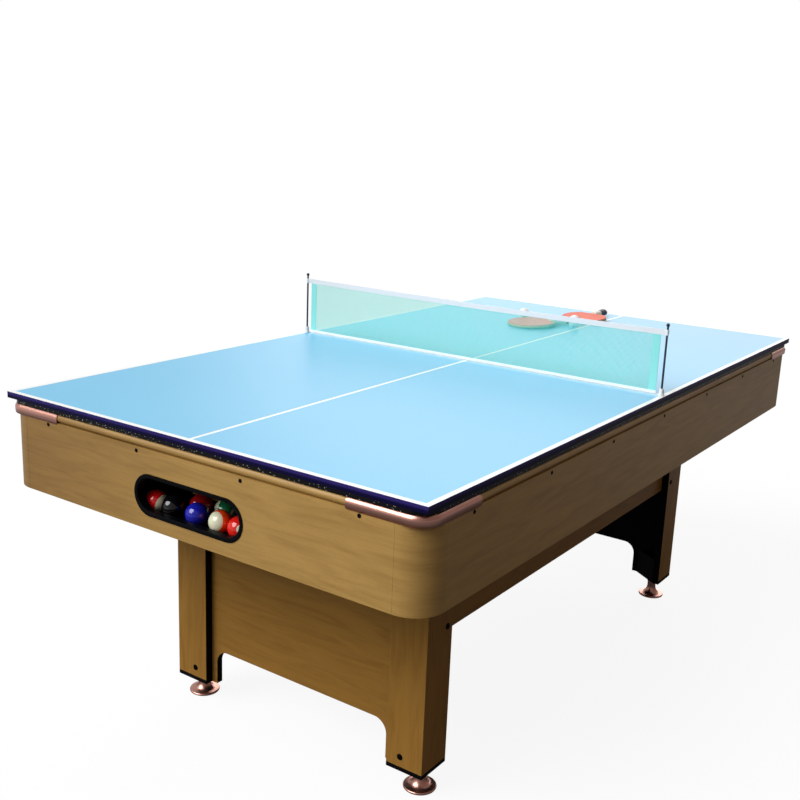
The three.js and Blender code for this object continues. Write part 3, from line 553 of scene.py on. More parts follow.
def add_box(name, low, high):
    """A board or block between two corners, to be shaped further."""
    deselect()
    middle = [(a + b) / 2 for a, b in zip(low, high)]
    bpy.ops.mesh.primitive_cube_add(size=1, location=middle)
    return named_piece(name, [b - a for a, b in zip(low, high)])


def add_circle(name, vertices, radius, place, turn=(0, 0, 0), fill="NGON", scale=(1, 1, 1)):
    """A disc, or with fill NOTHING a ring, that a piece is drawn out of."""
    deselect()
    bpy.ops.mesh.primitive_circle_add(
        vertices=vertices, radius=radius, fill_type=fill, location=place, rotation=turn
    )
    return named_piece(name, scale)


def add_turned(name, profile, x=0.0, y=0.0, steps=48):
    """A turned piece: a disc at the first radius and height, extruded and resized from ring to ring."""
    radius, height = profile[0]
    piece = add_circle(name, steps, radius, (x, y, height))
    edit(piece)
    for next_radius, next_height in profile[1:]:
        extrude(z=next_height - height)
        share = next_radius / radius
        bpy.ops.transform.resize(value=(share, share, 1), center_override=(x, y, next_height))
        radius, height = next_radius, next_height
    turn_outwards(piece)
    return piece


def worked_copy(node, name):
    """A copy of a node's mesh, merged from its loose triangles, with its flat faces joined."""
    mesh = NODES[node].data.copy()
    mesh.name = name
    mesh.materials.clear()
    piece = bpy.data.objects.new(name, mesh)
    bpy.context.scene.collection.objects.link(piece)
    merge(piece)
    bpy.ops.mesh.dissolve_limited(angle_limit=math.radians(0.5))
    deselect()
    return piece


def soften(piece, width, segments=2, angle=SHARP):
    """Rounds the sharp edges as sanding or a mould does, and shades flat faces flat."""
    take(piece)
    bpy.ops.object.shade_smooth_by_angle(angle=angle)
    apply_modifier(
        piece,
        "BEVEL",
        width=width,
        segments=segments,
        limit_method="ANGLE",
        angle_limit=angle,
        use_clamp_overlap=False,
    )
    apply_modifier(piece, "WEIGHTED_NORMAL", keep_sharp=True)


def twin(piece, name, x=1, y=1):
    """A copy of a piece on another side of the table, with its own mesh."""
    take(piece)
    bpy.ops.object.duplicate()
    copy = rename(bpy.context.object, name)
    edit(copy)
    bpy.ops.transform.resize(value=(x, y, 1), center_override=(0, 0, 0))
    if x * y < 0:
        bpy.ops.mesh.flip_normals()
    deselect()
    return copy


def join_pieces(pieces, name):
    """Joins shaped parts of one piece into one mesh."""
    deselect()
    for piece in pieces:
        piece.select_set(True)
    bpy.context.view_layer.objects.active = pieces[0]
    bpy.ops.object.join()
    return rename(bpy.context.object, name)


def place_copies(pattern, name, matrices):
    """Copies of one pattern at each place, joined as one piece. The pattern itself stays."""
    copies = []
    for matrix in matrices:
        take(pattern)
        bpy.ops.object.duplicate()
        copy = bpy.context.object
        copy.data.transform(matrix)
        copies.append(copy)
    return join_pieces(copies, name)


def on_end(x, y, z):
    """The place of a screw or bolt on a face that looks along Y."""
    return Matrix.Translation((x, y, z)) @ Matrix.Rotation(math.copysign(math.pi / 2, -y), 4, "X")


def on_side(x, y, z):
    """The place of a screw or bolt on a face that looks along X."""
    return Matrix.Translation((x, y, z)) @ Matrix.Rotation(math.copysign(math.pi / 2, x), 4, "Y")


def paint(piece, materials, choose=None):
    """Gives a piece its materials; choose returns the number of the material that a face wears."""
    piece.data.materials.clear()
    for material in materials:
        piece.data.materials.append(material)
    for face in piece.data.polygons:
        face.material_index = choose(face) if choose else 0


def body_of(node):
    """The body that a CAD node moves with."""
    return NODES[node]["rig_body"]


def middle_of(node):
    """The middle of a CAD node's box."""
    low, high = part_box(node)
    return (low + high) / 2


def settle(piece, body, slot, *nodes):
    """Hands a finished piece to the frame: it moves with its body, and the solids it stands for are hidden.
    The slot is not used.
    """
    deselect()
    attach(piece, body)
    if nodes:
        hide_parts(*nodes)


def finish(piece, node, slot, materials, width, choose=None, stands_for_it=True, **rounding):
    """Rounds the edges of a piece of a node, gives it its materials and hands it to the frame."""
    soften(piece, width, **rounding)
    paint(piece, materials, choose)
    settle(piece, body_of(node), slot, *([node] if stands_for_it else []))


def clad(node, name, *rest, **more):
    """A node's own mesh, worked over and finished."""
    finish(worked_copy(node, name), node, *rest, **more)


def plastic_pattern(name, radius, rings, steps, width, segments):
    """A turned plastic head to be copied. Its rings are shares of the radius, and heights."""
    head = add_turned(name, [(radius * share, height) for share, height in rings], steps=steps)
    soften(head, width, segments)
    paint(head, [moulded_black()])
    return head


class TABLE_OT_boards(bpy.types.Operator):
    """Lay the two blue table-tennis boards."""

    bl_idname = "table.boards"
    bl_label = "Table-Tennis Boards"

    peg_radius = 0.003
    drill_spare = 0.01
    skin = 0.0005
    level = 0.9

    def execute(self, context):
        for end in ENDS:
            node = f"tennis_board_{end}"
            board = add_box(f"{end}_board", *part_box(node))
            if end == "front":
                self.drill_peg_holes(board)
            faces = [painted_board(), edge_moulding(), board_underside()]
            finish(board, node, "playing_blue", faces, MOULDED_EDGE, self.face_of)
        return {"FINISHED"}

    def face_of(self, face):
        if face.normal.z > self.level and face.center.z > PLAY_HEIGHT - self.skin:
            return 0
        return 2 if face.normal.z < -self.level else 1

    def drill_peg_holes(self, board):
        heights = (BOARD_LOW.z - self.drill_spare, PLAY_HEIGHT + self.drill_spare)
        profile = [(self.peg_radius, height) for height in heights]
        for side in SIDES:
            middle = middle_of(f"net_post_{side}")
            drill = add_turned("drill", profile, middle.x, middle.y, 24)
            apply_modifier(board, "BOOLEAN", operation="DIFFERENCE", object=drill)
            bpy.data.objects.remove(drill)


class TABLE_OT_net(bpy.types.Operator):
    """String the net between its two posts."""

    bl_idname = "table.net"
    bl_label = "Net and Posts"

    rod_radius = 0.0026
    knob_radius = 0.0045
    knob_tip = 0.0001
    knob_steps = 12
    socket_rings = (
        (0.0076, 0.0003),
        (0.008, 0.0008),
        (0.008, 0.0035),
        (0.0062, 0.0045),
        (0.0056, 0.0168),
        (0.0048, 0.018),
        (0.0044, 0.0183),
        (rod_radius, 0.0183),
    )
    sag = 0.004
    side_hem = 0.020
    tab = 0.012
    bottom_hem = 0.007
    tape_thickness = 0.0014
    hem_thickness = 0.0012
    sleeve_thickness = 0.001
    sleeve_gap = 0.0003
    socket_edge = 0.0001
    rod_edge = 0.0002
    band_edge = 0.0003
    sleeve_edge = 0.0002
    thread = 1.4
    cord_thread = 0.8
    cord_steps = 32
    band_steps = 60

    def execute(self, context):
        for side in SIDES:
            self.add_post(side)
        net_low, net_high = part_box("net")
        self.low = net_low.z
        self.high = net_high.z
        self.half = net_high.x
        self.line = (net_low.y + net_high.y) / 2
        self.tape_low = self.high - sizes().net_tape
        self.hem_high = self.low + self.bottom_hem
        mesh = self.add_mesh(self.half - self.tab - self.side_hem)
        pieces = self.add_trim(self.half - self.tab)
        return {"FINISHED"}

    def add_post(self, side):
        """A moulded socket on the board, and a rod with a knob that stands in it."""
        node = f"net_post_{side}"
        low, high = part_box(node)
        middle = middle_of(node)
        rings = [(radius, PLAY_HEIGHT + height) for radius, height in self.socket_rings]
        socket = add_turned(f"{side}_post_socket", rings, middle.x, middle.y)
        nylon = [pale_nylon()]
        finish(socket, node, "post_metal", nylon, self.socket_edge, stands_for_it=False, segments=1)
        knob = self.knob_radius
        rings = [(self.rod_radius, low.z), (self.rod_radius, high.z - 2 * knob)]
        for step in range(2, self.knob_steps + 1):
            angle = math.pi * step / self.knob_steps
            radius = max(knob * math.sin(angle), self.knob_tip)
            if radius >= self.rod_radius or step > self.knob_steps / 2:
                rings.append((radius, high.z - knob - knob * math.cos(angle)))
        rod = add_turned(f"{side}_post_rod", rings, middle.x, middle.y, 32)
        finish(rod, node, "post_metal", [dark_steel()], self.rod_edge, segments=1)

    def drop(self, x):
        """How far the net hangs below its ends."""
        return self.sag * (1 - (x / self.half) ** 2)

    def add_mesh(self, half):
        """The knotted field: one cord of each direction, repeated, then drawn down by the sag."""
        low = self.hem_high
        high = self.tape_low
        cord = sizes().net_cord
        front = self.line - cord / 2
        back = self.line + cord / 2
        upright = add_box("upright_cords", (-half, front, low), (cord - half, back, high))
        self.repeat(upright, (1, 0, 0), 2 * half)
        level = add_box("level_cords", (-half, front, low), (half, back, low + cord))
        for step in range(1, self.cord_steps):
            slice_through(level, (half * (2 * step / self.cord_steps - 1), 0, 0), (1, 0, 0))
        self.repeat(level, (0, 0, 1), high - low)
        mesh = join_pieces([upright, level], "net_cords")
        for corner in mesh.data.vertices:
            share = (corner.co.z - low) / (high - low)
            corner.co.z -= share * self.drop(corner.co.x)
        paint(mesh, [woven_cloth("nylon_net_cord", tuple(colours().net_green), self.cord_thread)])
        settle(mesh, body_of("net"), "net_mesh", "net")
        return mesh

    def repeat(self, cord, direction, span):
        """Repeats a cord across the net at the net's own pitch."""
        count = round(span / sizes().net_pitch)
        apply_modifier(
            cord,
            "ARRAY",
            count=count,
            use_relative_offset=False,
            use_constant_offset=True,
            constant_offset_displace=Vector(direction) * (span - sizes().net_cord) / (count - 1),
        )

    def add_trim(self, half):
        """The tape, the hem, and a strip and a sleeve at each end."""
        white = woven_cloth("white_cotton_tape", srgb("#FDFDFC"), self.thread)
        pale = woven_cloth("unbleached_cotton_tape", srgb("#ECEEF1"), self.thread)
        tint = shade(colours().net_green, 2.0, 0.95, 1.05)
        mint = woven_cloth("mint_nylon_tape", tint, self.thread)
        steps = self.band_steps
        thickness = self.hem_thickness
        tape_low = self.tape_low
        hem_high = self.hem_high
        pieces = [
            self.add_band("net_top_tape", self.half, tape_low, self.high, self.tape_thickness, steps, pale),
            self.add_band("net_bottom_tape", half, self.low, hem_high, thickness, steps, white),
        ]
        for side, sign in SIDES.items():
            strip = self.side_hem / 2
            middle = sign * (half - strip)
            name = f"net_{side}_strip"
            pieces.append(self.add_band(name, strip, hem_high, tape_low, thickness, 4, mint, middle))
            pieces.append(self.add_sleeve(side, tape_low, pale))
        return pieces

    def add_band(self, name, half, low, high, thickness, steps, material, middle=0.0):
        """A band of cloth that hangs with the net."""
        deselect()
        bpy.ops.mesh.primitive_grid_add(
            x_subdivisions=steps,
            y_subdivisions=2,
            size=1,
            location=(middle, self.line, (low + high) / 2),
            rotation=(math.pi / 2, 0, 0),
        )
        band = named_piece(name, (2 * half, high - low, 1))
        span = self.tape_low - self.low
        for corner in band.data.vertices:
            share = min(max((corner.co.z - self.low) / span, 0), 1)
            corner.co.z -= share * self.drop(corner.co.x) if low > self.low else 0
        apply_modifier(band, "SOLIDIFY", thickness=thickness, offset=0)
        finish(band, "net", "net_mesh", [material], self.band_edge, stands_for_it=False)
        return band

    def add_sleeve(self, side, low, material):
        """The end of the tape, sewn round the post's rod."""
        middle = middle_of(f"net_post_{side}")
        clear = self.rod_radius + self.sleeve_gap
        outer = clear + self.sleeve_thickness
        lap = self.sleeve_edge / 2
        sleeve = add_turned(
            f"{side}_tape_sleeve",
            [(outer, low), (outer, self.high), (clear, self.high), (clear, low), (outer - lap, low)],
            middle.x,
            self.line,
            24,
        )
        pick(sleeve, "FACE", lambda face: len(face.vertices) > 4)
        bpy.ops.mesh.delete(type="FACE")
        merge(sleeve, 2 * lap)
        turn_outwards(sleeve)
        finish(sleeve, "net", "net_mesh", [material], self.sleeve_edge, stands_for_it=False, segments=1)
        return sleeve


class TABLE_OT_bats(bpy.types.Operator):
    """Lay the two bats and the two table-tennis balls on the far board."""

    bl_idname = "table.bats"
    bl_label = "Bats and Balls"

    blade_length = 0.157
    blade_width = 0.150
    blade_thickness = 0.0105
    rubber_share = 0.99
    rubber_back = 0.017
    handle_length = 0.070
    handle_thickness = 0.022
    handle_lap = 0.014
    handle_rings = (
        (0.0, 0.024),
        (0.012, 0.026),
        (0.035, 0.026),
        (0.058, 0.029),
        (0.068, 0.031),
        (handle_length, 0.029),
    )
    rubber_edge = 0.0004
    handle_edge = 0.0012
    rest_gap = 0.0003
    seam = 0.0003
    seam_share = 0.996
    seam_turn = 35
    # For each bat: x, y, turn in degrees, length of the darker end of the handle, colours of rubber, handle
    # and that darker end.
    places = {
        "bat_left": (-0.14016, 0.62846, 51, 0.013, "#FF5A2E", "#F6F4EA", "#A8543C"),
        "bat_right": (-0.05852, 0.86004, 85, 0.030, "#E8603C", "#F4F1EA", "#4A4C5C"),
    }

    def execute(self, context):
        for node, place_and_colours in self.places.items():
            self.add_bat(node, *place_and_colours)
        for side in SIDES:
            self.add_ball(f"tennis_ball_{side}")
        return {"FINISHED"}

    def lay_down(self, x, y, turn):
        """Where a bat lies: turned about Z, and leaning from its handle to the edge of its blade."""
        half = self.blade_length / 2
        span = self.blade_length - self.handle_lap
        lean = math.asin((self.handle_thickness - self.blade_thickness) / 2 / span)
        height = PLAY_HEIGHT + self.rest_gap + self.blade_thickness / 2 + half * math.sin(lean)
        return (
            Matrix.Translation((x, y, height))
            @ Matrix.Rotation(math.radians(turn), 4, "Z")
            @ Matrix.Rotation(-lean, 4, "Y")
        )

    def add_bat(self, node, x, y, turn, dark_end, rubber, light, dark):
        half = self.blade_length / 2
        core_half = self.blade_thickness / 2 - sizes().rubber
        core = self.add_disc(f"{node}_plywood", -core_half, core_half, 1.0)
        soften(core, MOULDED_EDGE)
        paint(core, [bat_wood("#D8BE8C")])
        pieces = [core]
        for label, low, code in (
            ("upper", core_half, rubber),
            ("lower", -core_half - sizes().rubber, "#1C1C20"),
        ):
            sheet = self.add_disc(f"{node}_{label}_rubber", low, low + sizes().rubber, self.rubber_share)
            end = (half - self.rubber_back, 0, 0)
            slice_through(sheet, end, (1, 0, 0), clear_outer=True, use_fill=True)
            soften(sheet, self.rubber_edge)
            paint(sheet, [bat_rubber(code)])
            pieces.append(sheet)
        handle = self.add_handle(f"{node}_handle", half - self.handle_lap)
        dark_from = half + self.handle_length - self.handle_lap - dark_end
        woods = [bat_wood(light), bat_wood(dark)]
        paint(handle, woods, lambda face: 1 if face.center.x > dark_from else 0)
        pieces.append(handle)
        for piece in pieces:
            piece.data.transform(self.lay_down(x, y, turn))
            settle(piece, body_of(node), "bat")
        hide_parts(node)

    def add_disc(self, name, low, high, share):
        """The outline of the blade, this share of its size, between two heights."""
        scale = (self.blade_length * share, self.blade_width * share, 1)
        disc = add_circle(name, 72, 0.5, (0, 0, low), scale=scale)
        edit(disc)
        extrude(z=high - low)
        turn_outwards(disc)
        return disc

    def add_handle(self, name, start):
        """The handle, drawn out along X from ring to ring, each a step and a width."""
        step, width = self.handle_rings[0]
        scale = (self.handle_thickness, width, 1)
        handle = add_circle(name, 40, 0.5, (start + step, 0, 0), (0, math.pi / 2, 0), scale=scale)
        edit(handle)
        for next_step, next_width in self.handle_rings[1:]:
            extrude(x=next_step - step)
            bpy.ops.transform.resize(
                value=(1, next_width / width, 1), center_override=(start + next_step, 0, 0)
            )
            step, width = next_step, next_width
        turn_outwards(handle)
        soften(handle, self.handle_edge, 3)
        return handle

    def add_ball(self, node):
        """A ball of two glued halves, with the seam between them pressed in a little."""
        low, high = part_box(node)
        middle = middle_of(node)
        deselect()
        bpy.ops.mesh.primitive_uv_sphere_add(
            segments=48, ring_count=24, radius=(high.x - low.x) / 2, location=middle
        )
        ball = named_piece(f"{node}_shell")

        def on_seam(point):
            return abs(point.z - middle.z) < self.seam / 6

        pick(ball, "EDGE", lambda ends: all(on_seam(point) for point in ends))
        bpy.ops.mesh.bevel(offset=self.seam, segments=2, affect="EDGES")
        bpy.ops.mesh.select_mode(type="VERT")
        pick(ball, "VERT", on_seam)
        bpy.ops.transform.resize(value=(self.seam_share, self.seam_share, 1), center_override=middle)
        deselect()
        ball.data.transform(
            Matrix.Translation(middle)
            @ Matrix.Rotation(math.radians(self.seam_turn), 4, "X")
            @ Matrix.Translation(-middle)
        )
        take(ball)
        bpy.ops.object.shade_smooth_by_angle(angle=SHARP)
        paint(ball, [celluloid()])
        settle(ball, body_of(node), "white_ball", node)


class TABLE_OT_rails(bpy.types.Operator):
    """Fit the four rails and the copper caps on their corners."""

    bl_idname = "table.rails"
    bl_label = "Rails and Corner Caps"

    nose_radius = 0.0095
    laminate = 0.009
    laminate_gap = 0.0002
    rail_front = 0.03
    cap_gap = 0.0003
    cap_wall = 0.0018
    cap_edge = 0.0004
    roll_rise = 0.002
    thinnest_share = 0.2
    cap_wrap = math.radians(54)
    cap_skirt = 0.0125
    skirt_steps = 7
    cap_arm = 0.133
    corner_radius = 0.045
    # How the ends of a cap's arms are rounded: slanting cuts of these degrees, this far back.
    end_cuts = ((30, 0.0016), (62, 0.0046))

    def execute(self, context):
        finishes = [beech_foil("level", "light"), speckled_laminate(), board_underside()]
        softness = sizes().edge_softness
        for label in (*ENDS, *SIDES):
            clad(f"rail_{label}", f"{label}_rail", "beech_rail", finishes, softness, self.face_of)
        self.add_caps(RAIL_TOP - self.laminate - self.nose_radius)
        return {"FINISHED"}

    def face_of(self, face):
        if face.center.z > RAIL_TOP - self.laminate - self.laminate_gap:
            return 1
        return 2 if face.center.z < RAIL_TOP - self.rail_front else 0

    def add_caps(self, centre_z):
        caps = {"front_right": self.shape_cap(centre_z)}
        for corner, x, y in CORNERS:
            if corner not in caps:
                caps[corner] = twin(caps["front_right"], f"{corner}_cap", x, -y)
        skirt_low = centre_z - self.cap_skirt
        for corner, piece in caps.items():
            node = f"corner_cap_{corner}"
            copper = copper_plate("cap", skirt_low, centre_z + self.roll_rise)
            finish(piece, node, "copper", [copper], self.cap_edge)

    def shape_cap(self, centre_z):
        """The nose's arc with a skirt below, drawn along one rail, round the corner and along the next."""
        radius = self.nose_radius + self.cap_gap
        spin_x = HALF_WIDTH - self.corner_radius
        spin_y = -HALF_LENGTH + self.corner_radius
        start = (HALF_WIDTH - self.nose_radius, spin_y + self.cap_arm, centre_z)
        cap = add_circle("front_right_cap", 120, radius, start, (math.pi / 2, 0, 0), "NOTHING")
        reach = start[0] + radius * math.cos(self.cap_wrap) - TOUCHING
        pick(cap, "VERT", lambda point: point.x < reach or point.z < centre_z - TOUCHING)
        bpy.ops.mesh.delete(type="VERT")
        pick(cap, "VERT", lambda point: point.z < centre_z + TOUCHING)
        depth = 0
        for step in range(1, self.skirt_steps + 1):
            next_depth = self.cap_skirt * math.sin(math.pi / 2 * step / self.skirt_steps)
            extrude(z=depth - next_depth)
            depth = next_depth
        edit(cap)
        extrude(y=-self.cap_arm)
        bpy.ops.mesh.spin(steps=24, angle=math.pi / 2, center=(spin_x, spin_y, 0), axis=(0, 0, 1))
        extrude(x=-self.cap_arm)
        merge(cap)
        self.round_ends(cap, start[1], spin_x - self.cap_arm, centre_z)
        turn_outwards(cap)
        self.thicken(cap, centre_z)
        turn_outwards(cap)
        return cap

    def thicken(self, cap, centre_z):
        """Gives the cap its wall, thinner towards the lower edge, where it rolls under."""
        fullness = cap.vertex_groups.new(name="fullness")
        for corner in cap.data.vertices:
            drop = min(max((centre_z - corner.co.z) / self.cap_skirt, 0), 1)
            fullness.add([corner.index], math.sqrt(1 - drop * drop), "REPLACE")
        apply_modifier(
            cap,
            "SOLIDIFY",
            thickness=self.cap_wall,
            offset=1,
            vertex_group=fullness.name,
            thickness_vertex_group=self.thinnest_share,
        )

    def round_ends(self, cap, end_y, end_x, centre_z):
        rise = self.nose_radius * math.sin(self.cap_wrap)
        for sign, edge_z in ((-1, centre_z - self.cap_skirt), (1, centre_z + rise)):
            for degrees, back in self.end_cuts:
                across = math.cos(math.radians(degrees))
                upright = math.sin(math.radians(degrees))
                on_y = (0, end_y - back * upright, edge_z)
                on_x = (end_x + back * upright, 0, edge_z)
                slice_through(cap, on_y, (0, across, sign * upright), clear_outer=True)
                slice_through(cap, on_x, (-across, 0, sign * upright), clear_outer=True)


class TABLE_OT_cabinet(bpy.types.Operator):
    """Build the cabinet sides, the rounded corner posts and their screws."""

    bl_idname = "table.cabinet"
    bl_label = "Cabinet"

    seam_softness = 0.0001
    board = 0.0215
    downward = -0.8
    inward = -0.001
    head_edge = 0.00008
    screw_height = 0.793
    end_screws = (-0.438, -0.148, 0.148, 0.438)
    side_screws = (-0.912, -0.608, -0.304, 0.0, 0.304, 0.608, 0.912)
    head_rings = ((1, 0.0), (1, 0.0003), (0.82, 0.0009), (0.5, 0.0011), (0.42, 0.0011), (0.38, 0.0004))

    def execute(self, context):
        finishes = [beech_foil("level", "light"), black_edge_band()]
        boards = [(f"apron_{label}", f"{label}_apron") for label in (*ENDS, *SIDES)]
        boards += [(f"corner_post_{corner}", f"{corner}_corner") for corner, _, _ in CORNERS]
        for node, name in boards:
            clad(node, name, "beech", finishes, self.seam_softness, self.face_of)
        self.add_screws()
        return {"FINISHED"}

    def face_of(self, face):
        """Beech outside, black on the underside, the inner faces and the seams."""
        place = face.center
        outward = Vector((place.x, place.y, 0)).dot(face.normal)
        within = abs(place.x) < HALF_WIDTH - self.board and abs(place.y) < HALF_LENGTH - self.board
        return 1 if face.normal.z < self.downward or within or outward < self.inward else 0

    def add_screws(self):
        radius = sizes().screw_radius
        head = plastic_pattern("screw_pattern", radius, self.head_rings, 24, self.head_edge, 1)
        rows = {}
        for end, sign in ENDS.items():
            rows[end] = [on_end(x, sign * HALF_LENGTH, self.screw_height) for x in self.end_screws]
        for side, sign in SIDES.items():
            rows[side] = [on_side(sign * HALF_WIDTH, y, self.screw_height) for y in self.side_screws]
        for label, places in rows.items():
            screws = place_copies(head, f"{label}_screws", places)
            settle(screws, body_of(f"apron_{label}"), "black_plastic")
        bpy.data.objects.remove(head)


class TABLE_OT_playfield(bpy.types.Operator):
    """Cover the bed and cushions with cloth and set the pockets."""

    bl_idname = "table.playfield"
    bl_label = "Playfield"

    cloth_hem = 0.004
    cushion_softness = 0.0025

    def execute(self, context):
        softness = sizes().edge_softness
        covers = [wool_cloth(), board_underside()]
        clad("playfield_bed", "cloth_covered_bed", "cloth_on_board", covers, softness, self.face_of)
        cushions = [f"cushion_{end}" for end in ENDS]
        cushions += [f"cushion_{side}_{end}" for side in SIDES for end in ENDS]
        rounding = {"segments": 4, "angle": math.radians(18)}
        for node in cushions:
            clad(node, f"{node}_cloth", "cushion", [wool_cloth()], self.cushion_softness, **rounding)
        for label in (*ENDS, "middle"):
            for side in SIDES:
                node = f"pocket_{label}_{side}"
                clad(node, f"{node}_cup", "black_plastic", [moulded_black()], MOULDED_EDGE)
        return {"FINISHED"}

    def face_of(self, face):
        return 0 if face.center.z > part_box("playfield_bed")[1].z - self.cloth_hem else 1


class TABLE_OT_ball_return(bpy.types.Operator):
    """Fit the ball runner, the ball box, its window and the pool balls in it."""

    bl_idname = "table.ball_return"
    bl_label = "Ball Return"

    flange = 0.008
    lip = 0.0018
    bezel_depth = 0.016
    bezel_wall = 0.0016
    bezel_edge = 0.0003
    # From its back to its face and in again: how much each ring of the bezel shrinks, and its step in Y.
    bezel_rings = (
        (0.0, -lip * 0.7),
        (-0.0012, -lip * 0.3),
        (0.003 - flange, 0.0),
        (-0.003, lip * 0.8),
        (0.0, bezel_depth),
    )
    # For each ball: its colour, where its pale part faces, and whether that is a stripe's two caps.
    balls = {
        "red_stripe": ("#E8181C", (0.94, 0.09, -0.20), True),
        "black": ("#0B0B10", (-0.2, 0.9, -0.3), False),
        "blue": ("#1B1FA6", (0.1, 0.9, -0.4), False),
        "orange_stripe": ("#FF4A10", (-0.01, -0.97, 0.33), True),
        "crimson_stripe": ("#E0201A", (0.75, -0.62, 0.24), False),
        "maroon": ("#A01218", (0.885, -0.355, -0.215), False),
        "green_stripe": ("#1F7A4A", (-0.85, -0.45, 0.25), True),
    }

    def execute(self, context):
        for node, name in (("ball_runner", "runner_channel"), ("ball_box", "ball_tray")):
            clad(node, name, "black_plastic", [moulded_black()], MOULDED_EDGE)
        self.add_bezel("window_bezel")
        for name, (code, axis, striped) in self.balls.items():
            node = f"pool_ball_{name}"
            low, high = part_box(node)
            middle = middle_of(node)
            radius = (high.z - low.z) / 2
            deselect()
            bpy.ops.mesh.primitive_ico_sphere_add(subdivisions=5, radius=radius, location=middle)
            ball = named_piece(f"{name}_ball")
            bpy.ops.object.shade_smooth()
            paint(ball, [phenolic(name, code, middle, radius, axis, striped)])
            settle(ball, body_of(node), f"ball_{name.split('_')[0]}", node)
        return {"FINISHED"}

    def add_bezel(self, node):
        """A ring pulled apart to the window's shape, drawn out to a lip and back in through the board."""
        low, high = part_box(node)
        reach = (high.z - low.z) / 2
        straight = (high.x - low.x) / 2 - reach
        centre = Vector((0, low.y + self.lip, (low.z + high.z) / 2))
        bezel = add_circle("ball_window_bezel", 96, reach, centre, (math.pi / 2, 0, 0), "NOTHING")
        pick(bezel, "VERT", lambda point: abs(point.x) < 10 * TOUCHING)
        bpy.ops.mesh.bevel(offset=2 * TOUCHING, segments=1, affect="VERTICES")
        for sign in (-1, 1):
            pick(bezel, "VERT", lambda point: point.x * sign > 0)
            bpy.ops.transform.translate(value=(sign * straight, 0, 0))
        edit(bezel)
        for shrink, step in self.bezel_rings:
            extrude(y=step)
            if shrink:
                across = (straight + reach + shrink) / (straight + reach)
                upright = (reach + shrink) / reach
                bpy.ops.transform.resize(value=(across, 1, upright), center_override=(0, 0, centre.z))
                reach += shrink
        turn_outwards(bezel)
        apply_modifier(bezel, "SOLIDIFY", thickness=self.bezel_wall, offset=-1)
        finish(bezel, node, "black_plastic", [moulded_black()], self.bezel_edge)


class TABLE_OT_base(bpy.types.Operator):
    """Stand the cabinet on its legs, end panels and side beams."""

    bl_idname = "table.base"
    bl_label = "Base"

    leg_reach = 0.098
    leg_skin = 0.001
    board_skin = 0.0005
    cap_edge = 0.0002
    # For each bolt, its distance from the leg's free edge and its height.
    low_bolt = (0.038, 0.094)
    high_bolt = (0.020, 0.405)
    cap_rings = ((1, 0.0), (1, 0.0008), (0.9, 0.002), (0.6, 0.0028), (0.25, 0.0031))

    def execute(self, context):
        for corner, x, y in CORNERS:
            self.add_leg(corner, x, y)
        for end, sign in ENDS.items():
            self.add_board(f"end_panel_{end}", f"{end}_panel", 1, sign)
        for side, sign in SIDES.items():
            self.add_board(f"side_beam_{side}", f"{side}_beam", 0, sign)
        self.add_bolts()
        return {"FINISHED"}

    def add_leg(self, corner, sign_x, sign_y):
        """An L-shaped leg, beech outside, with a black shoe."""
        node = f"leg_{corner}"
        leg = worked_copy(node, f"{corner}_leg")
        shoe_top = LEG_LOW.z + sizes().shoe_height
        slice_through(leg, (0, 0, shoe_top), (0, 0, 1))
        outer_x = LEG_HIGH.x - self.leg_skin
        outer_y = -LEG_LOW.y - self.leg_skin

        def face_of(face):
            outside = face.center.x * sign_x > outer_x or face.center.y * sign_y > outer_y
            return 0 if outside and face.center.z > shoe_top else 1

        faces = [beech_foil("upright", "dark"), black_edge_band()]
        finish(leg, node, "beech", faces, sizes().edge_softness, face_of)

    def add_board(self, node, name, axis, sign):
        """A board whose outer face along this axis is beech and whose other faces are black."""
        outer = max(abs(corner[axis]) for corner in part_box(node)) - self.board_skin
        finishes = [beech_foil("level", "dark"), black_edge_band()]

        def face_of(face):
            return 0 if face.center[axis] * sign > outer else 1

        clad(node, name, "beech_shaded", finishes, sizes().edge_softness, face_of)

    def add_bolts(self):
        radius = sizes().bolt_radius
        cap = plastic_pattern("bolt_pattern", radius, self.cap_rings, 28, self.cap_edge, 2)
        low_inset, low_height = self.low_bolt
        high_inset, high_height = self.high_bolt
        edge_x = LEG_HIGH.x - self.leg_reach + low_inset
        edge_y = -LEG_LOW.y - self.leg_reach + high_inset
        for corner, x, y in CORNERS:
            places = [
                on_end(x * edge_x, y * -LEG_LOW.y, low_height),
                on_side(x * LEG_HIGH.x, y * edge_y, high_height),
            ]
            bolts = place_copies(cap, f"{corner}_bolt_caps", places)
            settle(bolts, body_of(f"leg_{corner}"), "black_plastic")
        bpy.data.objects.remove(cap)


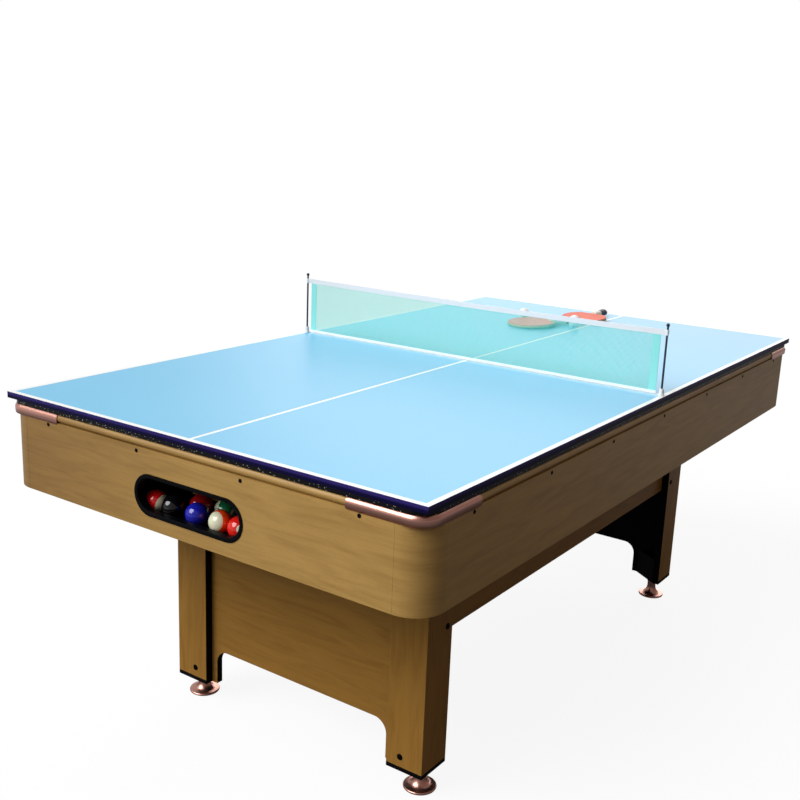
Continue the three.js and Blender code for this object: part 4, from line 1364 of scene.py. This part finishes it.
class TABLE_OT_levellers(bpy.types.Operator):
    """Screw the copper levellers into the legs."""

    bl_idname = "table.levellers"
    bl_label = "Levellers"

    neck = 0.013
    widest = 0.039
    rim = 0.0035
    rim_inside = 0.007
    flare_inset = 0.006
    flare_height = 0.027
    curve_steps = 12
    bell_edge = 0.0003
    # The collar above the flare: how much wider than the neck each ring is, and its height.
    collar_rings = ((0.0, 0.046), (0.0015, 0.0475), (0.0015, 0.0555), (0.0, 0.0572), (-0.0065, 0.0577))
    stem_low = 0.0575
    root = 0.0052
    crest = 0.006
    pitch = 0.00175
    stem_tip = 0.001

    def execute(self, context):
        # A roll far below the floor leaves this copper without one.
        copper = copper_plate("leveller", -1.0, -0.9)
        for corner, _, _ in CORNERS:
            node = f"leveller_{corner}"
            middle = middle_of(node)
            bell = self.add_bell(f"{corner}_bell", middle)
            finish(bell, node, "copper", [copper], self.bell_edge, angle=math.radians(40))
            stem = self.add_stem(f"{corner}_stem", middle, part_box(node)[1].z)
            paint(stem, [copper])
            settle(stem, body_of(node), "copper")
        return {"FINISHED"}

    def add_bell(self, name, middle):
        """The foot: a rolled rim, a hollow flare and a collar under the leg."""
        rim = self.rim
        profile = [(self.widest - self.rim_inside, 0.0)]
        for step in range(1, self.curve_steps):
            angle = math.pi * step / self.curve_steps - math.pi / 2
            profile.append((self.widest - rim + rim * math.cos(angle), rim + rim * math.sin(angle)))
        flare = self.widest - self.flare_inset - self.neck
        for step in range(1, self.curve_steps + 1):
            angle = math.pi / 2 * step / self.curve_steps
            height = 2 * rim + self.flare_height * (1 - math.cos(angle))
            profile.append((self.neck + flare * (1 - math.sin(angle)), height))
        profile += [(self.neck + wider, height) for wider, height in self.collar_rings]
        return add_turned(name, profile, middle.x, middle.y, 64)

    def add_stem(self, name, middle, top):
        """The threaded stem that runs up into the leg."""
        height = self.stem_low
        profile = [(self.root, height)]
        while height + self.pitch < top - self.stem_tip:
            profile.append((self.crest, height + self.pitch / 2))
            profile.append((self.root, height + self.pitch))
            height += self.pitch
        profile.append((self.root * 0.9, top))
        stem = add_turned(name, profile, middle.x, middle.y, 20)
        take(stem)
        bpy.ops.object.shade_smooth_by_angle(angle=SHARP)
        return stem


class TABLE_OT_stage(bpy.types.Operator):
    """Set the floor, the light and the camera."""

    bl_idname = "table.stage"
    bl_label = "Stage"

    view_place = (1.5105, -2.4998, 1.4646)
    view_azimuth = math.radians(34.754)
    view_elevation = math.radians(14.295)
    view_roll = math.radians(2.260)
    view_lens = 47.93
    floor_size = 80
    floor_reach = 2.5
    shade_near = 1.2
    shade_far = 3.5
    shade_share = 0.1
    floor_matt = 0.10
    floor_bounce = 0.04
    floor_left = 0.55
    floor_right = 0.18
    room_left = 0.54
    room_right = 0.20
    white = (1, 1, 1, 1)
    warm = (1, 0.78, 0.68, 1)

    def execute(self, context):
        self.add_floor()
        self.light_world()
        self.add_sun("key_light", (-0.36, -0.68, 0.64), 2.93, 45)
        self.add_sun("far_window", (-0.28, 0.90, 0.33), 1.15, 52)
        self.add_camera()
        return {"FINISHED"}

    def add_sun(self, name, direction, energy, softness):
        """A light from one direction, as soft as a window of this many degrees."""
        deselect()
        towards_light = Vector(direction)
        turn = towards_light.to_track_quat("Z", "Y").to_euler()
        bpy.ops.object.light_add(type="SUN", rotation=turn, location=towards_light * 6)
        lamp = bpy.context.object
        lamp.name = name
        lamp.data.energy = energy
        lamp.data.angle = math.radians(softness)

    def add_floor(self):
        """White to the eye with a faint shadow. In reflections on wood and metal it glows with painted
        light, brighter to the left, with a painted shadow near the table.
        """
        deselect()
        bpy.ops.mesh.primitive_plane_add(size=self.floor_size)
        floor = named_piece("floor")
        material = bpy.data.materials.new("pale_floor")
        material.use_nodes = True
        tree = material.node_tree
        tree.nodes.clear()
        nodes = Nodes(tree)
        rays = add_node(tree, "ShaderNodeLightPath").outputs
        reach = self.floor_reach
        # Painted light in reflections: the floor's glow is brighter to the left than to the right.
        mirrored = nodes.spread(nodes.parts["X"], -reach, reach, self.floor_left, self.floor_right)
        inputs = {0: nodes.place}
        away = add_node(tree, "ShaderNodeVectorMath", inputs, operation="LENGTH").outputs["Value"]
        # Painted shadow in reflections: the glow fades to a tenth near the table.
        painted_shadow_fade = nodes.spread(away, self.shade_near, self.shade_far, self.shade_share)
        in_metal = nodes.maths("MULTIPLY", rays["Is Glossy Ray"], nodes.maths("MULTIPLY", painted_shadow_fade, mirrored))
        seen = nodes.maths("MULTIPLY_ADD", rays["Is Camera Ray"], 1 - self.floor_matt, in_metal)
        glow = add_node(tree, "ShaderNodeEmission", {"Color": self.white, "Strength": seen})
        grey = nodes.spread(rays["Is Diffuse Ray"], start=self.floor_matt, end=self.floor_bounce)
        matt = add_node(tree, "ShaderNodeBsdfDiffuse", {"Color": grey})
        both = add_node(tree, "ShaderNodeAddShader", {0: matt.outputs[0], 1: glow.outputs[0]})
        add_node(tree, "ShaderNodeOutputMaterial", {"Surface": both.outputs[0]})
        paint(floor, [material])

    def light_world(self):
        """A room bright and white on the left, dim and warm on the right, seen as plain white."""
        world = bpy.data.worlds.new("white_room")
        bpy.context.scene.world = world
        world.use_nodes = True
        tree = world.node_tree
        background = tree.nodes["Background"]
        seen = add_node(tree, "ShaderNodeLightPath").outputs["Is Camera Ray"]
        nodes = Nodes(tree, "Generated")
        room = nodes.spread(nodes.parts["X"], -1, 1, self.room_left, self.room_right)
        strength = nodes.spread(seen, start=room, end=1.0)
        warmth = nodes.spread(seen, start=nodes.parts["X"], end=0.0)
        tree.links.new(strength, background.inputs["Strength"])
        tree.links.new(nodes.mix(warmth, self.white, self.warm), background.inputs["Color"])

    def add_camera(self):
        """The view that the photo was taken from."""
        level_share = math.cos(self.view_elevation)
        back = Vector(
            (
                math.sin(self.view_azimuth) * level_share,
                -math.cos(self.view_azimuth) * level_share,
                math.sin(self.view_elevation),
            )
        )
        level = (-back).cross(Vector((0, 0, 1))).normalized()
        upright = level.cross(-back)
        roll = self.view_roll
        right = level * math.cos(roll) + upright * math.sin(roll)
        up = upright * math.cos(roll) - level * math.sin(roll)
        turn = Matrix((right, up, back)).transposed().to_euler()
        deselect()
        bpy.ops.object.camera_add(location=self.view_place, rotation=turn)
        camera = bpy.context.object
        camera.name = "photo_view"
        camera.data.sensor_width = 36
        camera.data.lens = self.view_lens
        bpy.context.scene.camera = camera


OPERATORS = (
    TABLE_OT_boards,
    TABLE_OT_net,
    TABLE_OT_bats,
    TABLE_OT_rails,
    TABLE_OT_cabinet,
    TABLE_OT_playfield,
    TABLE_OT_ball_return,
    TABLE_OT_base,
    TABLE_OT_levellers,
    TABLE_OT_stage,
)


class TABLE_PT_panel(bpy.types.Panel):
    """Lists the table's sizes, colours and pieces."""

    bl_idname = "TABLE_PT_panel"
    bl_label = "Multi Game Table"
    bl_space_type = "VIEW_3D"
    bl_region_type = "UI"
    bl_category = "Games"

    def draw(self, context):
        for group in (sizes(), colours()):
            for name in group.__annotations__:
                self.layout.prop(group, name)
        for operator in OPERATORS:
            self.layout.operator(operator.bl_idname)


CLASSES = (TableSizes, TableColours, *OPERATORS, TABLE_PT_panel)


def register():
    for item in CLASSES:
        bpy.utils.register_class(item)
    bpy.types.Scene.table_sizes = PointerProperty(type=TableSizes)
    bpy.types.Scene.table_colours = PointerProperty(type=TableColours)


def unregister():
    del bpy.types.Scene.table_colours
    del bpy.types.Scene.table_sizes
    for item in reversed(CLASSES):
        bpy.utils.unregister_class(item)


def main():
    """Builds the whole table."""
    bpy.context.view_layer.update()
    register()
    bpy.context.scene.view_settings.view_transform = "Standard"
    for operator in OPERATORS:
        section, name = operator.bl_idname.split(".")
        getattr(getattr(bpy.ops, section), name)()


if __name__ == "__main__":
    main()
